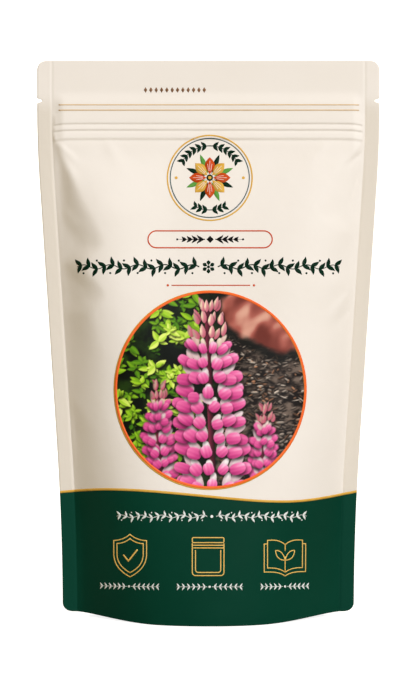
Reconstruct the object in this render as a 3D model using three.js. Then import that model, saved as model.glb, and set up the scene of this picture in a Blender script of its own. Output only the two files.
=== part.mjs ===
// Resealable stand-up seed pouch, filled and standing.
//
// Two film panels are heat-sealed to each other along both sides and the top. A third piece of film,
// folded into the bottom, opens under the load into the base that the pouch stands on. A press-to-close
// zip lies inside, below the tear notches, and a heap of seeds fills the body.
//
// Millimetres, +Z up, the front facing -Y, +X to the viewer's right. The origin is on the floor, midway
// between the side seals and between front and back.

import * as THREE from "three";

// ---- Driving dimensions ----
const FLAT_WIDTH = 120; // across the empty pouch, edge to edge
const STANDING_HEIGHT = 195; // floor to top edge once filled
const FILLED_BASE_WIDTH = 102.5; // across the side seals just above the floor
const SIDE_SEAL = 5.1; // width of the heat-sealed side strips
const FILM = 0.3; // film laminate, drawn about twice as thick as the real one
const CORNER_RADIUS = 3.2; // rounded outer corners

const BULGE_TOP = 178; // the sides begin to draw in below this height
const BULGE_EASE_IN = 24; // height over which they begin to
const BULGE_EASE_OUT = 61; // height above the floor over which they stop
const CORNER_LIFT = 1.6; // the sealed bottom corners curl off the floor by this much
const LIFT_SPAN = [0.38, 1.1]; // shares of the way to the side seals between which the curl sets in
const LIFT_FADE = 14; // the curl dies out over this height

const NOTCH_HEIGHT = 181; // centre of the tear notches
const NOTCH_DEPTH = 1.75; // how far they cut into the side seals
const NOTCH_GAP = 1.4; // their width, up and down

const ZIP_HEIGHT = 171.4; // centre of the interlocking track
const ZIP_LENGTH = 100; // inside the side seals
const ZIP_BOTTOM = 166.4; // lower edge of the zip's flanges
const ZIP_TOP = 178.4; // upper edge
const ZIP_FLANGE = 0.25; // thickness of a flange
const ZIP_SPREAD = 1.2; // from the middle plane to the outer face of a flange
const ZIP_CLEARANCE = 0.15; // between the two halves, and between flange and film
const ZIP_MARGIN = 0.4; // the panels stay apart this far past the flanges
const ZIP_FOOT = 9; // height over which they part, below the zip
const ZIP_CREST = 6; // height over which they close again, above it

const GUSSET_FOLD = 30; // height of the folded bottom film before it opens
const GUSSET_GAP = 0.3; // between the sealed skirt of the gusset and the panel
const GUSSET_REACH = 0.95; // share of the width, between the side seals, that it spans
const SETTLED_LENGTH = 28; // the part of the web that the load presses flat on the floor
const SETTLED_EASE = 20; // the web rises to the seal line over this length at each end of it
const SETTLED_DEPTH = 0.45; // share of the depth that is pressed flat

const SEED_TOP = 97; // top of the heap of seeds
const SEED_SIZE = 4.8; // pitch of the seeds in the heap
const SEED_RELIEF = 1.3; // how far a seed stands out of the heap
const SEED_GAP = 0.35; // between the heap and the film
const SEED_REACH = 0.9; // share of the width, between the side seals, that the heap fills
const HEAP_TILT = 0.05; // the heap lies a little lower to the right
const HEAP_ROUND = [0.0016, 0.004]; // and falls off from its crown with the square of x and of y

const BASE_STEPS = 38; // steps across the width in the gusset, which the heap above it follows
const WEB_STEPS = 10; // steps from front to back in the gusset's web, and in the heap above it

// ---- Shape of the filled pouch ----
// Film bends but does not stretch, so a panel's length between its side seals is the same at every
// height, and how far the sides draw in settles how far the panel bulges out.
const HALF_WIDTH = FLAT_WIDTH / 2;
const PANEL_HALF_LENGTH = HALF_WIDTH - SIDE_SEAL;
const SHOULDER_TOP = 168; // height where the panel's flat front reaches right up to the side seals
const SHOULDER_WIDTH = 14; // below that it turns towards them over this width
const SHOULDER_GROWTH = 16; // height over which most of that width is reached
const SHOULDER_START = 0.4; // least height taken below the top, so that the shoulder keeps some width
const FOOT_SHOULDER = 11; // added to it at the floor, where the open gusset rounds the panel
const FOOT_HEIGHT = 70; // height over which that fades
const SEAL_EASE = [1.2, 1.4]; // how softly a panel leaves the side seals, in the body and at the floor
const SLOPE_SHARE = 0.316; // the shoulder's width is taken where the slope is down to this share
const SECTION_SAMPLES = 60; // points at which a section's slope is averaged

const PANEL_STEPS = 24; // steps across a panel, between the side seals
const PANEL_CROWDING = 1.3; // steps are closer together towards the seals
const SEAL_COLUMNS = [1.25, 1.6, 2]; // columns in a seal strip, which runs from 1 to 2
const BODY_ROWS = 15; // steps up a panel, from the bottom corners to where it parts for the zip
const ZIP_ROWS = 3; // steps from there to the zip's lower edge
const CORNER_STEPS = 4; // steps round a corner
const NOTCH_STEPS = 3; // steps from a notch's edge to its middle
const SKIRT_STEPS = 2; // steps up the skirts of the gusset
const WALL_STEPS = 7; // steps up the sides of the heap of seeds

const { clamp, smoothstep, lerp } = THREE.MathUtils;

/** Share of the full narrowing that the side edges have reached at height z: 0 at the zip, 1 at the floor. */
function narrowing(z) {
  const down = clamp(BULGE_TOP - z, 0, BULGE_TOP);
  const total = BULGE_TOP - (BULGE_EASE_IN + BULGE_EASE_OUT) / 2;
  if (down < BULGE_EASE_IN) return down ** 2 / (2 * BULGE_EASE_IN) / total;
  if (down < BULGE_TOP - BULGE_EASE_OUT) return (down - BULGE_EASE_IN / 2) / total;
  return 1 - (BULGE_TOP - down) ** 2 / (2 * BULGE_EASE_OUT) / total;
}

/** Half the distance between the outer edges of the side seals at height z, before corners and notches. */
function edgeAt(z) {
  return HALF_WIDTH - (HALF_WIDTH - FILLED_BASE_WIDTH / 2) * narrowing(z);
}

/** Half the distance between the inner edges of the side seals at height z. */
function chordAt(z) {
  return edgeAt(z) - SIDE_SEAL;
}

/** Share of the foot's rounding that a panel has at height z: 1 on the floor, 0 in the body. */
function footAt(z) {
  return 1 - smoothstep(z, 0, FOOT_HEIGHT);
}

/** Powers of the cross-section at height z: a flat front with a shoulder towards each side seal. */
function sectionPowers(z) {
  const grown = 1 - Math.exp(-Math.max(SHOULDER_START, SHOULDER_TOP - z) / SHOULDER_GROWTH);
  const shoulder = SHOULDER_WIDTH * grown + FOOT_SHOULDER * footAt(z);
  const power = 1 + Math.log(SLOPE_SHARE) / Math.log(1 - shoulder / chordAt(z));
  return [power, lerp(SEAL_EASE[0], SEAL_EASE[1], footAt(z))];
}

/** Cross-section (1 - |t|^p)^q: 1 at the centre line, 0 at the side seals and level with them there. */
function section(t, z) {
  const [p, q] = sectionPowers(z);
  return (1 - Math.min(1, Math.abs(t)) ** p) ** q;
}

/** How far a panel stands out at its centre line: as far as its length between the seals allows. */
function bulgeAt(z) {
  const chord = chordAt(z);
  const step = 1 / SECTION_SAMPLES;
  let slopes = 0;
  for (let k = 0; k < SECTION_SAMPLES; k += 1) {
    slopes += ((section((k + 1) * step, z) - section(k * step, z)) / step) ** 2 * step;
  }
  return chord * Math.sqrt(Math.max(0, (2 * (PANEL_HALF_LENGTH / chord - 1)) / slopes));
}

/** Room that a panel leaves for the zip: constant along it, closing towards the side seals. */
function zipRoom(x, z) {
  const along = 1 - smoothstep(Math.abs(x), ZIP_LENGTH / 2 + ZIP_MARGIN, PANEL_HALF_LENGTH);
  const below = smoothstep(z, ZIP_BOTTOM - ZIP_FOOT, ZIP_BOTTOM - ZIP_MARGIN);
  const above = 1 - smoothstep(z, ZIP_TOP + ZIP_MARGIN, ZIP_TOP + ZIP_CREST);
  return (ZIP_SPREAD + ZIP_CLEARANCE) * along * below * above;
}

/** Distance from the middle plane to the inner face of a panel at (x, z). */
function reach(x, z) {
  const t = x / chordAt(z);
  return Math.abs(t) >= 1 ? 0 : Math.hypot(bulgeAt(z) * section(t, z), zipRoom(x, z));
}

/** How far the bottom edge is off the floor, t of the way from the middle to the inner edge of a seal. */
function lift(t) {
  return CORNER_LIFT * smoothstep(Math.abs(t), ...LIFT_SPAN);
}

/** Half width at height z with the rounded corners and the tear notch cut out of it. */
function outlineAt(z) {
  const fromEnd = Math.min(z, STANDING_HEIGHT - z);
  const below = Math.max(0, CORNER_RADIUS - fromEnd);
  const corner = CORNER_RADIUS - Math.sqrt(CORNER_RADIUS ** 2 - below ** 2);
  const across = Math.min(1, Math.abs(z - NOTCH_HEIGHT) / (NOTCH_GAP / 2));
  return edgeAt(z) - corner - NOTCH_DEPTH * Math.sqrt(1 - across ** 2);
}

// ---- Closed sheets ----

/** Mesh geometry from a flat list of coordinates and a list of triangle corners. */
function solid(positions, triangles) {
  const geometry = new THREE.BufferGeometry();
  geometry.setAttribute("position", new THREE.Float32BufferAttribute(positions, 3));
  geometry.setIndex(triangles);
  geometry.computeVertexNormals();
  return geometry;
}

/**
 * A closed thin sheet from two grids of points with the same rows and columns. Both faces are split
 * into triangles alike. Seen from outside the first face, columns run to the right and rows run up.
 */
function sheet(rows, columns, firstFace, secondFace) {
  const positions = [];
  for (const face of [firstFace, secondFace]) {
    for (let j = 0; j < rows; j += 1) {
      for (let i = 0; i < columns; i += 1) positions.push(...face(i, j));
    }
  }
  const first = (i, j) => j * columns + i;
  const second = (i, j) => (rows + j) * columns + i;
  const triangles = [];
  const quad = (a, b, c, d) => triangles.push(a, b, c, a, c, d);
  for (let j = 0; j + 1 < rows; j += 1) {
    for (let i = 0; i + 1 < columns; i += 1) {
      const corners = [[i, j], [i + 1, j], [i + 1, j + 1], [i, j + 1]];
      const [a, b, c, d] = corners.map(([k, l]) => first(k, l));
      const [e, f, g, h] = corners.map(([k, l]) => second(k, l));
      triangles.push(a, b, c, a, c, d);
      triangles.push(e, g, f, e, h, g);
    }
  }
  for (let i = 0; i + 1 < columns; i += 1) {
    quad(first(i + 1, 0), first(i, 0), second(i, 0), second(i + 1, 0));
    quad(first(i, rows - 1), first(i + 1, rows - 1), second(i + 1, rows - 1), second(i, rows - 1));
  }
  const last = columns - 1;
  for (let j = 0; j + 1 < rows; j += 1) {
    quad(first(0, j), first(0, j + 1), second(0, j + 1), second(0, j));
    quad(first(last, j + 1), first(last, j), second(last, j), second(last, j + 1));
  }
  return solid(positions, triangles);
}

/** Evenly spaced values from a to b, both ends included. */
function spaced(a, b, steps) {
  return Array.from({ length: steps + 1 }, (_, k) => lerp(a, b, k / steps));
}

/** Offsets from 0 to r that step a quarter circle of radius r by equal angles. */
function quarter(r, steps) {
  return spaced(0, Math.PI / 2, steps).map((angle) => r * (1 - Math.cos(angle)));
}

// ---- Panels ----

/** Heights of a panel's rows: close together at the corners, the zip and the notches. */
function panelRows() {
  const corner = quarter(CORNER_RADIUS, CORNER_STEPS);
  const notch = quarter(NOTCH_GAP / 2, NOTCH_STEPS);
  const [notchFoot, notchHead] = [NOTCH_HEIGHT - NOTCH_GAP / 2, NOTCH_HEIGHT + NOTCH_GAP / 2];
  const zipFoot = ZIP_BOTTOM - ZIP_FOOT;
  return [
    ...corner,
    ...spaced(2 * CORNER_RADIUS, zipFoot, BODY_ROWS),
    ...spaced(zipFoot, ZIP_BOTTOM, ZIP_ROWS).slice(1),
    ZIP_TOP,
    (ZIP_TOP + notchFoot) / 2,
    ...notch.map((rise) => notchFoot + rise),
    ...notch.slice(0, -1).reverse().map((rise) => notchHead - rise),
    ZIP_TOP + ZIP_CREST,
    ...corner.reverse().map((rise) => STANDING_HEIGHT - rise),
  ];
}

/** Columns of a panel: t runs across the body from -1 to 1, then on across the seal strips to -2 and 2. */
function panelColumns() {
  const crowd = (u) => Math.sign(u) * (1 - (1 - Math.abs(u)) ** PANEL_CROWDING);
  const body = spaced(-1, 1, PANEL_STEPS).map(crowd);
  return [...SEAL_COLUMNS.map((t) => -t).reverse(), ...body, ...SEAL_COLUMNS];
}

/** x of column t at height z. */
function columnX(t, z) {
  const chord = chordAt(z);
  const strip = Math.max(0, Math.abs(t) - 1);
  const inner = Math.min(1, Math.abs(t)) * chord;
  return Math.sign(t) * (inner + strip * (outlineAt(z) - chord));
}

/** One film panel: side -1 is the front and side 1 the back, which is the same panel turned round. */
function panel(side) {
  const heights = panelRows();
  const columns = panelColumns();
  const point = (extra) => (i, j) => {
    const t = -side * columns[i];
    const z = heights[j];
    const x = columnX(t, z);
    const raised = z + lift(t) * (1 - smoothstep(z, 0, LIFT_FADE));
    return [x, side * (reach(x, z) + extra), raised];
  };
  return sheet(heights.length, columns.length, point(FILM), point(0));
}

// ---- Bottom gusset ----

/** Height of the line where the gusset leaves the panels: low in the middle, up at the side seals. */
function sealLine(x) {
  return GUSSET_FOLD - bulgeAt(0) * section(x / chordAt(0), 0);
}

/** Height of the underside of the web, q of the way from the middle to the panels: flat on the floor. */
function webHeight(x, q) {
  const ends = 1 - smoothstep(Math.abs(x), SETTLED_LENGTH / 2, SETTLED_LENGTH / 2 + SETTLED_EASE);
  const sides = 1 - smoothstep(Math.abs(q), SETTLED_DEPTH, 1);
  return sealLine(x) * (1 - ends * sides);
}

/** The opened bottom film: a skirt sealed to the front panel, the web across, and a skirt at the back. */
function gusset() {
  const along = spaced(-GUSSET_REACH, GUSSET_REACH, BASE_STEPS);
  const skirt = spaced(0, 1, SKIRT_STEPS);
  const web = spaced(-1, 1, WEB_STEPS);
  const rows = skirt.length * 2 + web.length - 2;
  const point = (upper) => (i, j) => {
    const x = along[i] * chordAt(0);
    const inset = GUSSET_GAP + (upper ? 0 : FILM);
    const thickness = upper ? FILM : 0;
    const back = j >= rows - skirt.length;
    if (j < skirt.length - 1 || j > rows - skirt.length) {
      const share = skirt[back ? rows - 1 - j : j];
      const z = lerp(lift(along[i]), sealLine(x) + thickness, share);
      return [x, (back ? 1 : -1) * (reach(x, z) - inset), z];
    }
    const q = web[j - skirt.length + 1];
    return [x, q * (reach(x, sealLine(x)) - inset), webHeight(x, q) + thickness];
  };
  return sheet(rows, along.length, point(true), point(false));
}

// ---- Zip ----

/** A strip of constant section along X, from an outline of [y, z] points round the track's centre. */
function strip(outline) {
  const shape = new THREE.Shape(outline.map(([y, z]) => new THREE.Vector2(y, z)));
  const geometry = new THREE.ExtrudeGeometry(shape, { depth: ZIP_LENGTH, bevelEnabled: false });
  geometry.rotateX(Math.PI / 2);
  geometry.rotateZ(Math.PI / 2);
  geometry.translate(-ZIP_LENGTH / 2, 0, ZIP_HEIGHT);
  return geometry;
}

const RIB_HALF = 0.25; // half thickness of the rib's stem
const HEAD_HALF = 0.62; // half height of the arrow head on the rib
const HEAD_BACK = 0.05; // where the head begins, behind the middle plane
const HEAD_TIP = 0.6; // where it ends
const HOOK_TIP = -0.5; // how far the channel's hooks reach forward
const HOOK_DEPTH = 0.4; // thickness of the hooks
const JAW = 0.34; // thickness of the channel's jaws
const FLANGE_DOWN = ZIP_BOTTOM - ZIP_HEIGHT;
const FLANGE_UP = ZIP_TOP - ZIP_HEIGHT;
const FLANGE_INNER = ZIP_SPREAD - ZIP_FLANGE;

/** Front half: a flange with a rib whose arrow head snaps into the channel. */
function zipRib() {
  return strip([
    [-ZIP_SPREAD, FLANGE_DOWN],
    [-FLANGE_INNER, FLANGE_DOWN],
    [-FLANGE_INNER, -RIB_HALF],
    [HEAD_BACK, -RIB_HALF],
    [HEAD_BACK, -HEAD_HALF],
    [HEAD_TIP, -RIB_HALF],
    [HEAD_TIP, RIB_HALF],
    [HEAD_BACK, HEAD_HALF],
    [HEAD_BACK, RIB_HALF],
    [-FLANGE_INNER, RIB_HALF],
    [-FLANGE_INNER, FLANGE_UP],
    [-ZIP_SPREAD, FLANGE_UP],
  ]);
}

/** Back half: a flange with two hooked jaws that make the channel. */
function zipChannel() {
  const inside = HEAD_HALF + ZIP_CLEARANCE;
  const outside = inside + JAW;
  const mouth = RIB_HALF + ZIP_CLEARANCE;
  const hookBack = HOOK_TIP + HOOK_DEPTH;
  return strip([
    [ZIP_SPREAD, FLANGE_DOWN],
    [ZIP_SPREAD, FLANGE_UP],
    [FLANGE_INNER, FLANGE_UP],
    [FLANGE_INNER, outside],
    [HOOK_TIP, outside],
    [HOOK_TIP, mouth],
    [hookBack, mouth],
    [hookBack, inside],
    [FLANGE_INNER, inside],
    [FLANGE_INNER, -inside],
    [hookBack, -inside],
    [hookBack, -mouth],
    [HOOK_TIP, -mouth],
    [HOOK_TIP, -outside],
    [FLANGE_INNER, -outside],
    [FLANGE_INNER, FLANGE_DOWN],
  ]);
}

// ---- Seeds ----

/** Relief of packed seeds: waves along y and slantwise add up to round tops in staggered rows. */
function seedRelief(x, y) {
  const row = Math.cos((2 * Math.PI * y) / SEED_SIZE);
  const stagger = Math.cos((2 * Math.PI * x) / SEED_SIZE) * Math.cos((Math.PI * y) / SEED_SIZE);
  return (SEED_RELIEF * (1 + stagger + row / 2)) / 2;
}

/** Top of the heap at (x, y): it slopes away from a low crown. */
function heapTop(x, y) {
  const fall = HEAP_ROUND[0] * x ** 2 + HEAP_ROUND[1] * y ** 2 + HEAP_TILT * x;
  return SEED_TOP - fall - SEED_RELIEF + seedRelief(x, y);
}

/** The heap of seeds: closed loops round the heap, one for each step along X, and a cap at each end. */
function seeds() {
  const steps = Math.round((BASE_STEPS * SEED_REACH) / GUSSET_REACH);
  const stations = spaced(-SEED_REACH, SEED_REACH, steps);
  const across = spaced(-1, 1, WEB_STEPS);
  const up = spaced(0, 1, WALL_STEPS).slice(1, -1);
  const loops = stations.map((t) => {
    const x = t * chordAt(0);
    const wall = (z) => reach(x, z) - SEED_GAP;
    const floor = (q) => webHeight(x, q) + FILM + SEED_GAP;
    const foot = floor(1) + FILM;
    const shoulder = heapTop(x, wall(SEED_TOP));
    const inset = GUSSET_GAP + FILM + SEED_GAP;
    return [
      ...across.map((q) => [x, q * (reach(x, foot) - inset), floor(q)]),
      ...up.map((share) => [x, wall(lerp(foot, shoulder, share)), lerp(foot, shoulder, share)]),
      ...across.map((q) => [x, -q * wall(shoulder), heapTop(x, -q * wall(shoulder))]),
      ...up.map((share) => [x, -wall(lerp(shoulder, foot, share)), lerp(shoulder, foot, share)]),
    ];
  });
  const around = loops[0].length;
  const triangles = [];
  for (let s = 0; s + 1 < loops.length; s += 1) {
    for (let k = 0; k < around; k += 1) {
      const next = (k + 1) % around;
      const [a, b] = [s * around + k, s * around + next];
      triangles.push(a, b, a + around, b, b + around, a + around);
    }
  }
  const positions = loops.flat(2);
  for (const [loop, s, turned] of [[loops[0], 0, true], [loops.at(-1), loops.length - 1, false]]) {
    const middle = positions.length / 3;
    const mean = (axis) => loop.reduce((sum, point) => sum + point[axis], 0) / around;
    positions.push(mean(0), mean(1), mean(2));
    for (let k = 0; k < around; k += 1) {
      const [a, b] = [s * around + k, s * around + ((k + 1) % around)];
      triangles.push(middle, turned ? b : a, turned ? a : b);
    }
  }
  return solid(positions, triangles);
}

// ---- Assembly ----

const printedFilm = new THREE.MeshStandardMaterial({ color: 0xeee5d8, roughness: 0.55, metalness: 0 });
const plainFilm = new THREE.MeshStandardMaterial({ color: 0xebe2d4, roughness: 0.55, metalness: 0 });
const greenFilm = new THREE.MeshStandardMaterial({ color: 0x12412f, roughness: 0.5, metalness: 0 });
const zipPlastic = new THREE.MeshStandardMaterial({ color: 0xf4f2ec, roughness: 0.35, metalness: 0 });
const seedCoat = new THREE.MeshStandardMaterial({ color: 0x5a4632, roughness: 0.6, metalness: 0 });

const pouch = new THREE.Group();

/** Adds a named piece to the pouch. */
function add(name, geometry, material) {
  const mesh = new THREE.Mesh(geometry, material);
  mesh.name = name;
  pouch.add(mesh);
}

add("front_panel", panel(-1), printedFilm);
add("back_panel", panel(1), plainFilm);
add("bottom_gusset", gusset(), greenFilm);
add("zip_front", zipRib(), zipPlastic);
add("zip_back", zipChannel(), zipPlastic);
add("seed_fill", seeds(), seedCoat);

export default pouch;
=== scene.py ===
"""Looks of a resealable stand-up seed pouch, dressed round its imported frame.

The pouch is two printed film panels, heat-sealed at the sides and the top, with an opened gusset
below and a press-to-close zip inside. Every length is in millimetres and is turned into metres
where a mesh is made; only the heights and the scales of a finish are in metres from the start.
+Z is up and the front faces -Y.
"""

from __future__ import annotations

import logging
import math
from dataclasses import dataclass, field
from enum import Enum

import bpy
import numpy as np
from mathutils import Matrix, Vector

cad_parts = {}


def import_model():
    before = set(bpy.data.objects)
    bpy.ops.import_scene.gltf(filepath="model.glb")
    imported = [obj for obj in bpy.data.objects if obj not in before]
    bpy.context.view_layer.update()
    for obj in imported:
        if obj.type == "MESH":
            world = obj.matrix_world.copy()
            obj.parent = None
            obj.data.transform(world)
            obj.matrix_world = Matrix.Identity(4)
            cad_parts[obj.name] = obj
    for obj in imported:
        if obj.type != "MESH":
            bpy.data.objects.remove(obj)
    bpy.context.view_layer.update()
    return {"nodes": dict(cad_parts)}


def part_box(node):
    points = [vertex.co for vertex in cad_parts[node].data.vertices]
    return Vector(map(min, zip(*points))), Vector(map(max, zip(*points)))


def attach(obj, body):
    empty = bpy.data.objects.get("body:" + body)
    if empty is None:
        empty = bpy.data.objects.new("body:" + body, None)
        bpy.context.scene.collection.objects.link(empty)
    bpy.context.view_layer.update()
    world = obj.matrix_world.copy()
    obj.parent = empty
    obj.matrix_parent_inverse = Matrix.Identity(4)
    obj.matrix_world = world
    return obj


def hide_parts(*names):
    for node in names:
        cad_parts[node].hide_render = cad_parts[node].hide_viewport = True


MM = 0.001
BODY = "root"
FRONT = -1
BACK = 1
LOG = logging.getLogger("seed_pouch")

Array = np.ndarray
Pair = tuple[float, float]
Triple = tuple[float, float, float]
Rgba = tuple[float, float, float, float]
Color = tuple[int, int, int]
Tones = tuple[Color, ...]
Socket = bpy.types.NodeSocket
Material = bpy.types.Material
Piece = bpy.types.Object

EVERYWHERE = slice(None)
PICTURE_CENTRE = (0.84, 80.4)


# ---- Formulas on whole arrays ----


def smoothstep(x: Array, low: float, high: float) -> Array:
    """Smooth step: 0 below low, 1 above high, and 3s^2 - 2s^3 of the share s between them.

    Args:
        x: values to step.
        low: where the step begins.
        high: where it ends.

    Returns:
        The step, as an array like x.
    """
    share = np.clip((np.asarray(x, float) - low) / (high - low), 0.0, 1.0)
    return share * share * (3.0 - 2.0 * share)


def lattice_noise(x: Array, y: Array, cell: float, seed: int) -> Array:
    """Smooth noise from -1 to 1: random values on a square lattice, blended with smooth steps.

    Args:
        x: first coordinate.
        y: second coordinate.
        cell: lattice spacing.
        seed: seed of the random values.

    Returns:
        The noise at each point.
    """
    table_size = 256
    table = np.random.default_rng(seed).uniform(-1.0, 1.0, (table_size, table_size))
    u, v = np.asarray(x, float) / cell, np.asarray(y, float) / cell
    i, j = np.floor(u).astype(int), np.floor(v).astype(int)
    a, b = smoothstep(u - i, 0.0, 1.0), smoothstep(v - j, 0.0, 1.0)

    def value(di: int, dj: int) -> Array:
        """Lattice value at an offset from each point's own corner."""
        return table[(i + di) % table_size, (j + dj) % table_size]

    low = value(0, 0) * (1 - a) + value(1, 0) * a
    high = value(0, 1) * (1 - a) + value(1, 1) * a
    return low * (1 - b) + high * b


def layered_noise(x: Array, y: Array, cell: float, seed: int, layers: int = 3) -> Array:
    """Sum of lattice noises, each with half the cell and half the strength of the one before.

    Args:
        x: first coordinate.
        y: second coordinate.
        cell: lattice spacing of the first layer.
        seed: seed of the first layer.
        layers: number of layers.

    Returns:
        The noise, about -1 to 1.
    """
    shares = [0.5**k for k in range(layers)]
    parts = [s * lattice_noise(x, y, cell * s, seed + k) for k, s in enumerate(shares)]
    return sum(parts) / sum(shares)


def hermite(knots: Array, x: Array) -> Array:
    """Smooth curve through knots: a cubic between neighbours that keeps each knot's slope.

    Args:
        knots: rows of position, height and slope, in order of position.
        x: positions at which to take the curve.

    Returns:
        The heights at x; the end slopes run on past the ends.
    """
    at, height, slope = knots.T
    k = np.clip(np.searchsorted(at, x) - 1, 0, len(at) - 2)
    width = at[k + 1] - at[k]
    s = np.clip((x - at[k]) / width, 0.0, 1.0)
    rise = (2 * s**3 - 3 * s**2 + 1) * height[k] + (3 * s**2 - 2 * s**3) * height[k + 1]
    lean = (s**3 - 2 * s**2 + s) * slope[k] + (s**3 - s**2) * slope[k + 1]
    past = np.minimum(0.0, x - at[0]) * slope[0] + np.maximum(0.0, x - at[-1]) * slope[-1]
    return rise + width * lean + past


def even_slopes(at: Array, height: Array) -> Array:
    """Slopes that carry a curve through knots without overshoot, level at each turn and at the ends.

    Args:
        at: positions of the knots, in order.
        height: their heights.

    Returns:
        At each knot the harmonic mean of the slopes to its two neighbours, or 0 where they differ in sign.
    """
    to_next = np.diff(height) / np.diff(at)
    product = to_next[:-1] * to_next[1:]
    total = np.where(product > 0, to_next[:-1] + to_next[1:], 1.0)
    return np.pad(np.where(product > 0, 2 * product / total, 0.0), 1)


def crowded(low: float, high: float, steps: int, pitch: list[Triple]) -> Array:
    """Positions from low to high whose spacing is finer in some places.

    The wanted spacing is 1, times (1 - fineness * bell) for each place, where the bell falls off
    as a Gaussian. The positions share out the integral of one over that spacing evenly.

    Args:
        low: first position.
        high: last position.
        steps: number of steps.
        pitch: a centre, a half width and a fineness from 0 to 1 for each finer place.

    Returns:
        steps + 1 positions.
    """
    fine = np.linspace(low, high, 4001)
    spacing = np.ones_like(fine)
    for centre, half, fineness in pitch:
        spacing *= 1 - fineness * np.exp(-(((fine - centre) / half) ** 2))
    share = np.concatenate(([0.0], np.cumsum(1 / spacing[1:])))
    return np.interp(np.linspace(0.0, share[-1], steps + 1), share, fine)


# ---- Meshes ----


def wrapped(grid: Array) -> Array:
    """The grid with its first column repeated after its last."""
    return np.concatenate([grid, grid[:, :1]], axis=1)


def quads(ids: Array) -> Array:
    """Faces between neighbouring rows and columns of a grid of vertex numbers, anticlockwise."""
    return np.stack([ids[:-1, :-1], ids[:-1, 1:], ids[1:, 1:], ids[1:, :-1]], axis=-1).reshape(-1, 4)


@dataclass
class MeshBuilder:
    """Vertices and faces gathered for one mesh, in millimetres."""

    points: list[Array] = field(default_factory=list)
    corners: list[Array] = field(default_factory=list)
    sizes: list[Array] = field(default_factory=list)
    smooth: list[Array] = field(default_factory=list)
    count: int = 0

    def add_points(self, points: Array) -> Array:
        """Adds a grid of points.

        Args:
            points: the points, in an array of any shape by 3.

        Returns:
            Their vertex numbers, in the grid's own shape.
        """
        ids = self.count + np.arange(points[..., 0].size).reshape(points.shape[:-1])
        self.points.append(points.reshape(-1, 3))
        self.count += ids.size
        return ids

    def add_faces(self, faces: Array, smooth: bool) -> None:
        """Adds faces that all have as many corners.

        Args:
            faces: vertex numbers, faces by corners.
            smooth: whether they are shaded smooth.
        """
        self.corners.append(faces.ravel())
        self.sizes.append(np.full(len(faces), faces.shape[1]))
        self.smooth.append(np.full(len(faces), smooth))

    def add_sheet(self, outer: Array, inner: Array, stride: int = 1, ring: bool = False) -> None:
        """Adds a closed sheet: a fine outer face, a coarser inner face and the walls between.

        The outer grid's columns run to the right and its rows run up, seen from outside. The
        inner grid holds every stride-th row and column, and a wall face joins stride outer edges
        to one inner edge, so that the sheet is closed.

        Args:
            outer: points of the outer face, rows by columns by 3.
            inner: points of the inner face.
            stride: outer steps for each inner step.
            ring: whether the last column joins the first.
        """
        a, b = self.add_points(outer), self.add_points(inner)
        if ring:
            a, b = wrapped(a), wrapped(b)
        self.add_faces(quads(a), True)
        self.add_faces(quads(b.T), True)
        walls = [(a[0, ::-1], b[0, ::-1]), (a[-1], b[-1])]
        if not ring:
            walls += [(a[:, 0], b[:, 0]), (a[::-1, -1], b[::-1, -1])]
        for outside, inside in walls:
            steps = np.arange(len(inside) - 1)
            edge = outside[steps[:, None] * stride + np.arange(stride + 1)[None, :]]
            self.add_faces(np.column_stack([edge, inside[1:], inside[:-1]]), False)

    def build(self, name: str) -> Piece:
        """Makes the mesh object, in metres, at the origin.

        Args:
            name: name of the object and its mesh.

        Returns:
            The new object, linked to the scene.
        """
        mesh = bpy.data.meshes.new(name)
        points = np.concatenate(self.points) * MM
        corners = np.concatenate(self.corners)
        sizes = np.concatenate(self.sizes)
        mesh.vertices.add(len(points))
        mesh.vertices.foreach_set("co", points.ravel())
        mesh.loops.add(len(corners))
        mesh.loops.foreach_set("vertex_index", corners)
        mesh.polygons.add(len(sizes))
        mesh.polygons.foreach_set("loop_start", np.concatenate(([0], np.cumsum(sizes)[:-1])))
        mesh.polygons.foreach_set("use_smooth", np.concatenate(self.smooth))
        mesh.update(calc_edges=True)
        piece = bpy.data.objects.new(name, mesh)
        bpy.context.scene.collection.objects.link(piece)
        return piece


def add_values(piece: Piece, name: str, values: Array) -> None:
    """Stores one number for each vertex of a piece, for its material to read."""
    layer = piece.data.attributes.new(name, "FLOAT", "POINT")
    layer.data.foreach_set("value", values.ravel().astype(np.float32))


def add_colors(piece: Piece, name: str, colors: Array) -> None:
    """Stores one linear colour for each vertex of a piece, for its material to read.

    Args:
        piece: the piece.
        name: name of the attribute.
        colors: linear colours, one row for each vertex.
    """
    layer = piece.data.attributes.new(name, "FLOAT_COLOR", "POINT")
    alpha = np.ones((len(colors), 1))
    layer.data.foreach_set("color", np.hstack([colors, alpha]).ravel().astype(np.float32))


def install(piece: Piece, material: Material, slot: str, *nodes: str) -> None:
    """Gives a piece its material and its body, and logs it.

    Args:
        piece: the finished piece.
        material: its material.
        slot: the record's material slot; not used.
        nodes: the CAD nodes that it stands for, if any.
    """
    piece.data.materials.append(material)
    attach(piece, BODY)
    if nodes:
        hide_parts(*nodes)
    LOG.info("%s: %d vertices", piece.name, len(piece.data.vertices))


# ---- Shape of the filled pouch ----


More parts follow.
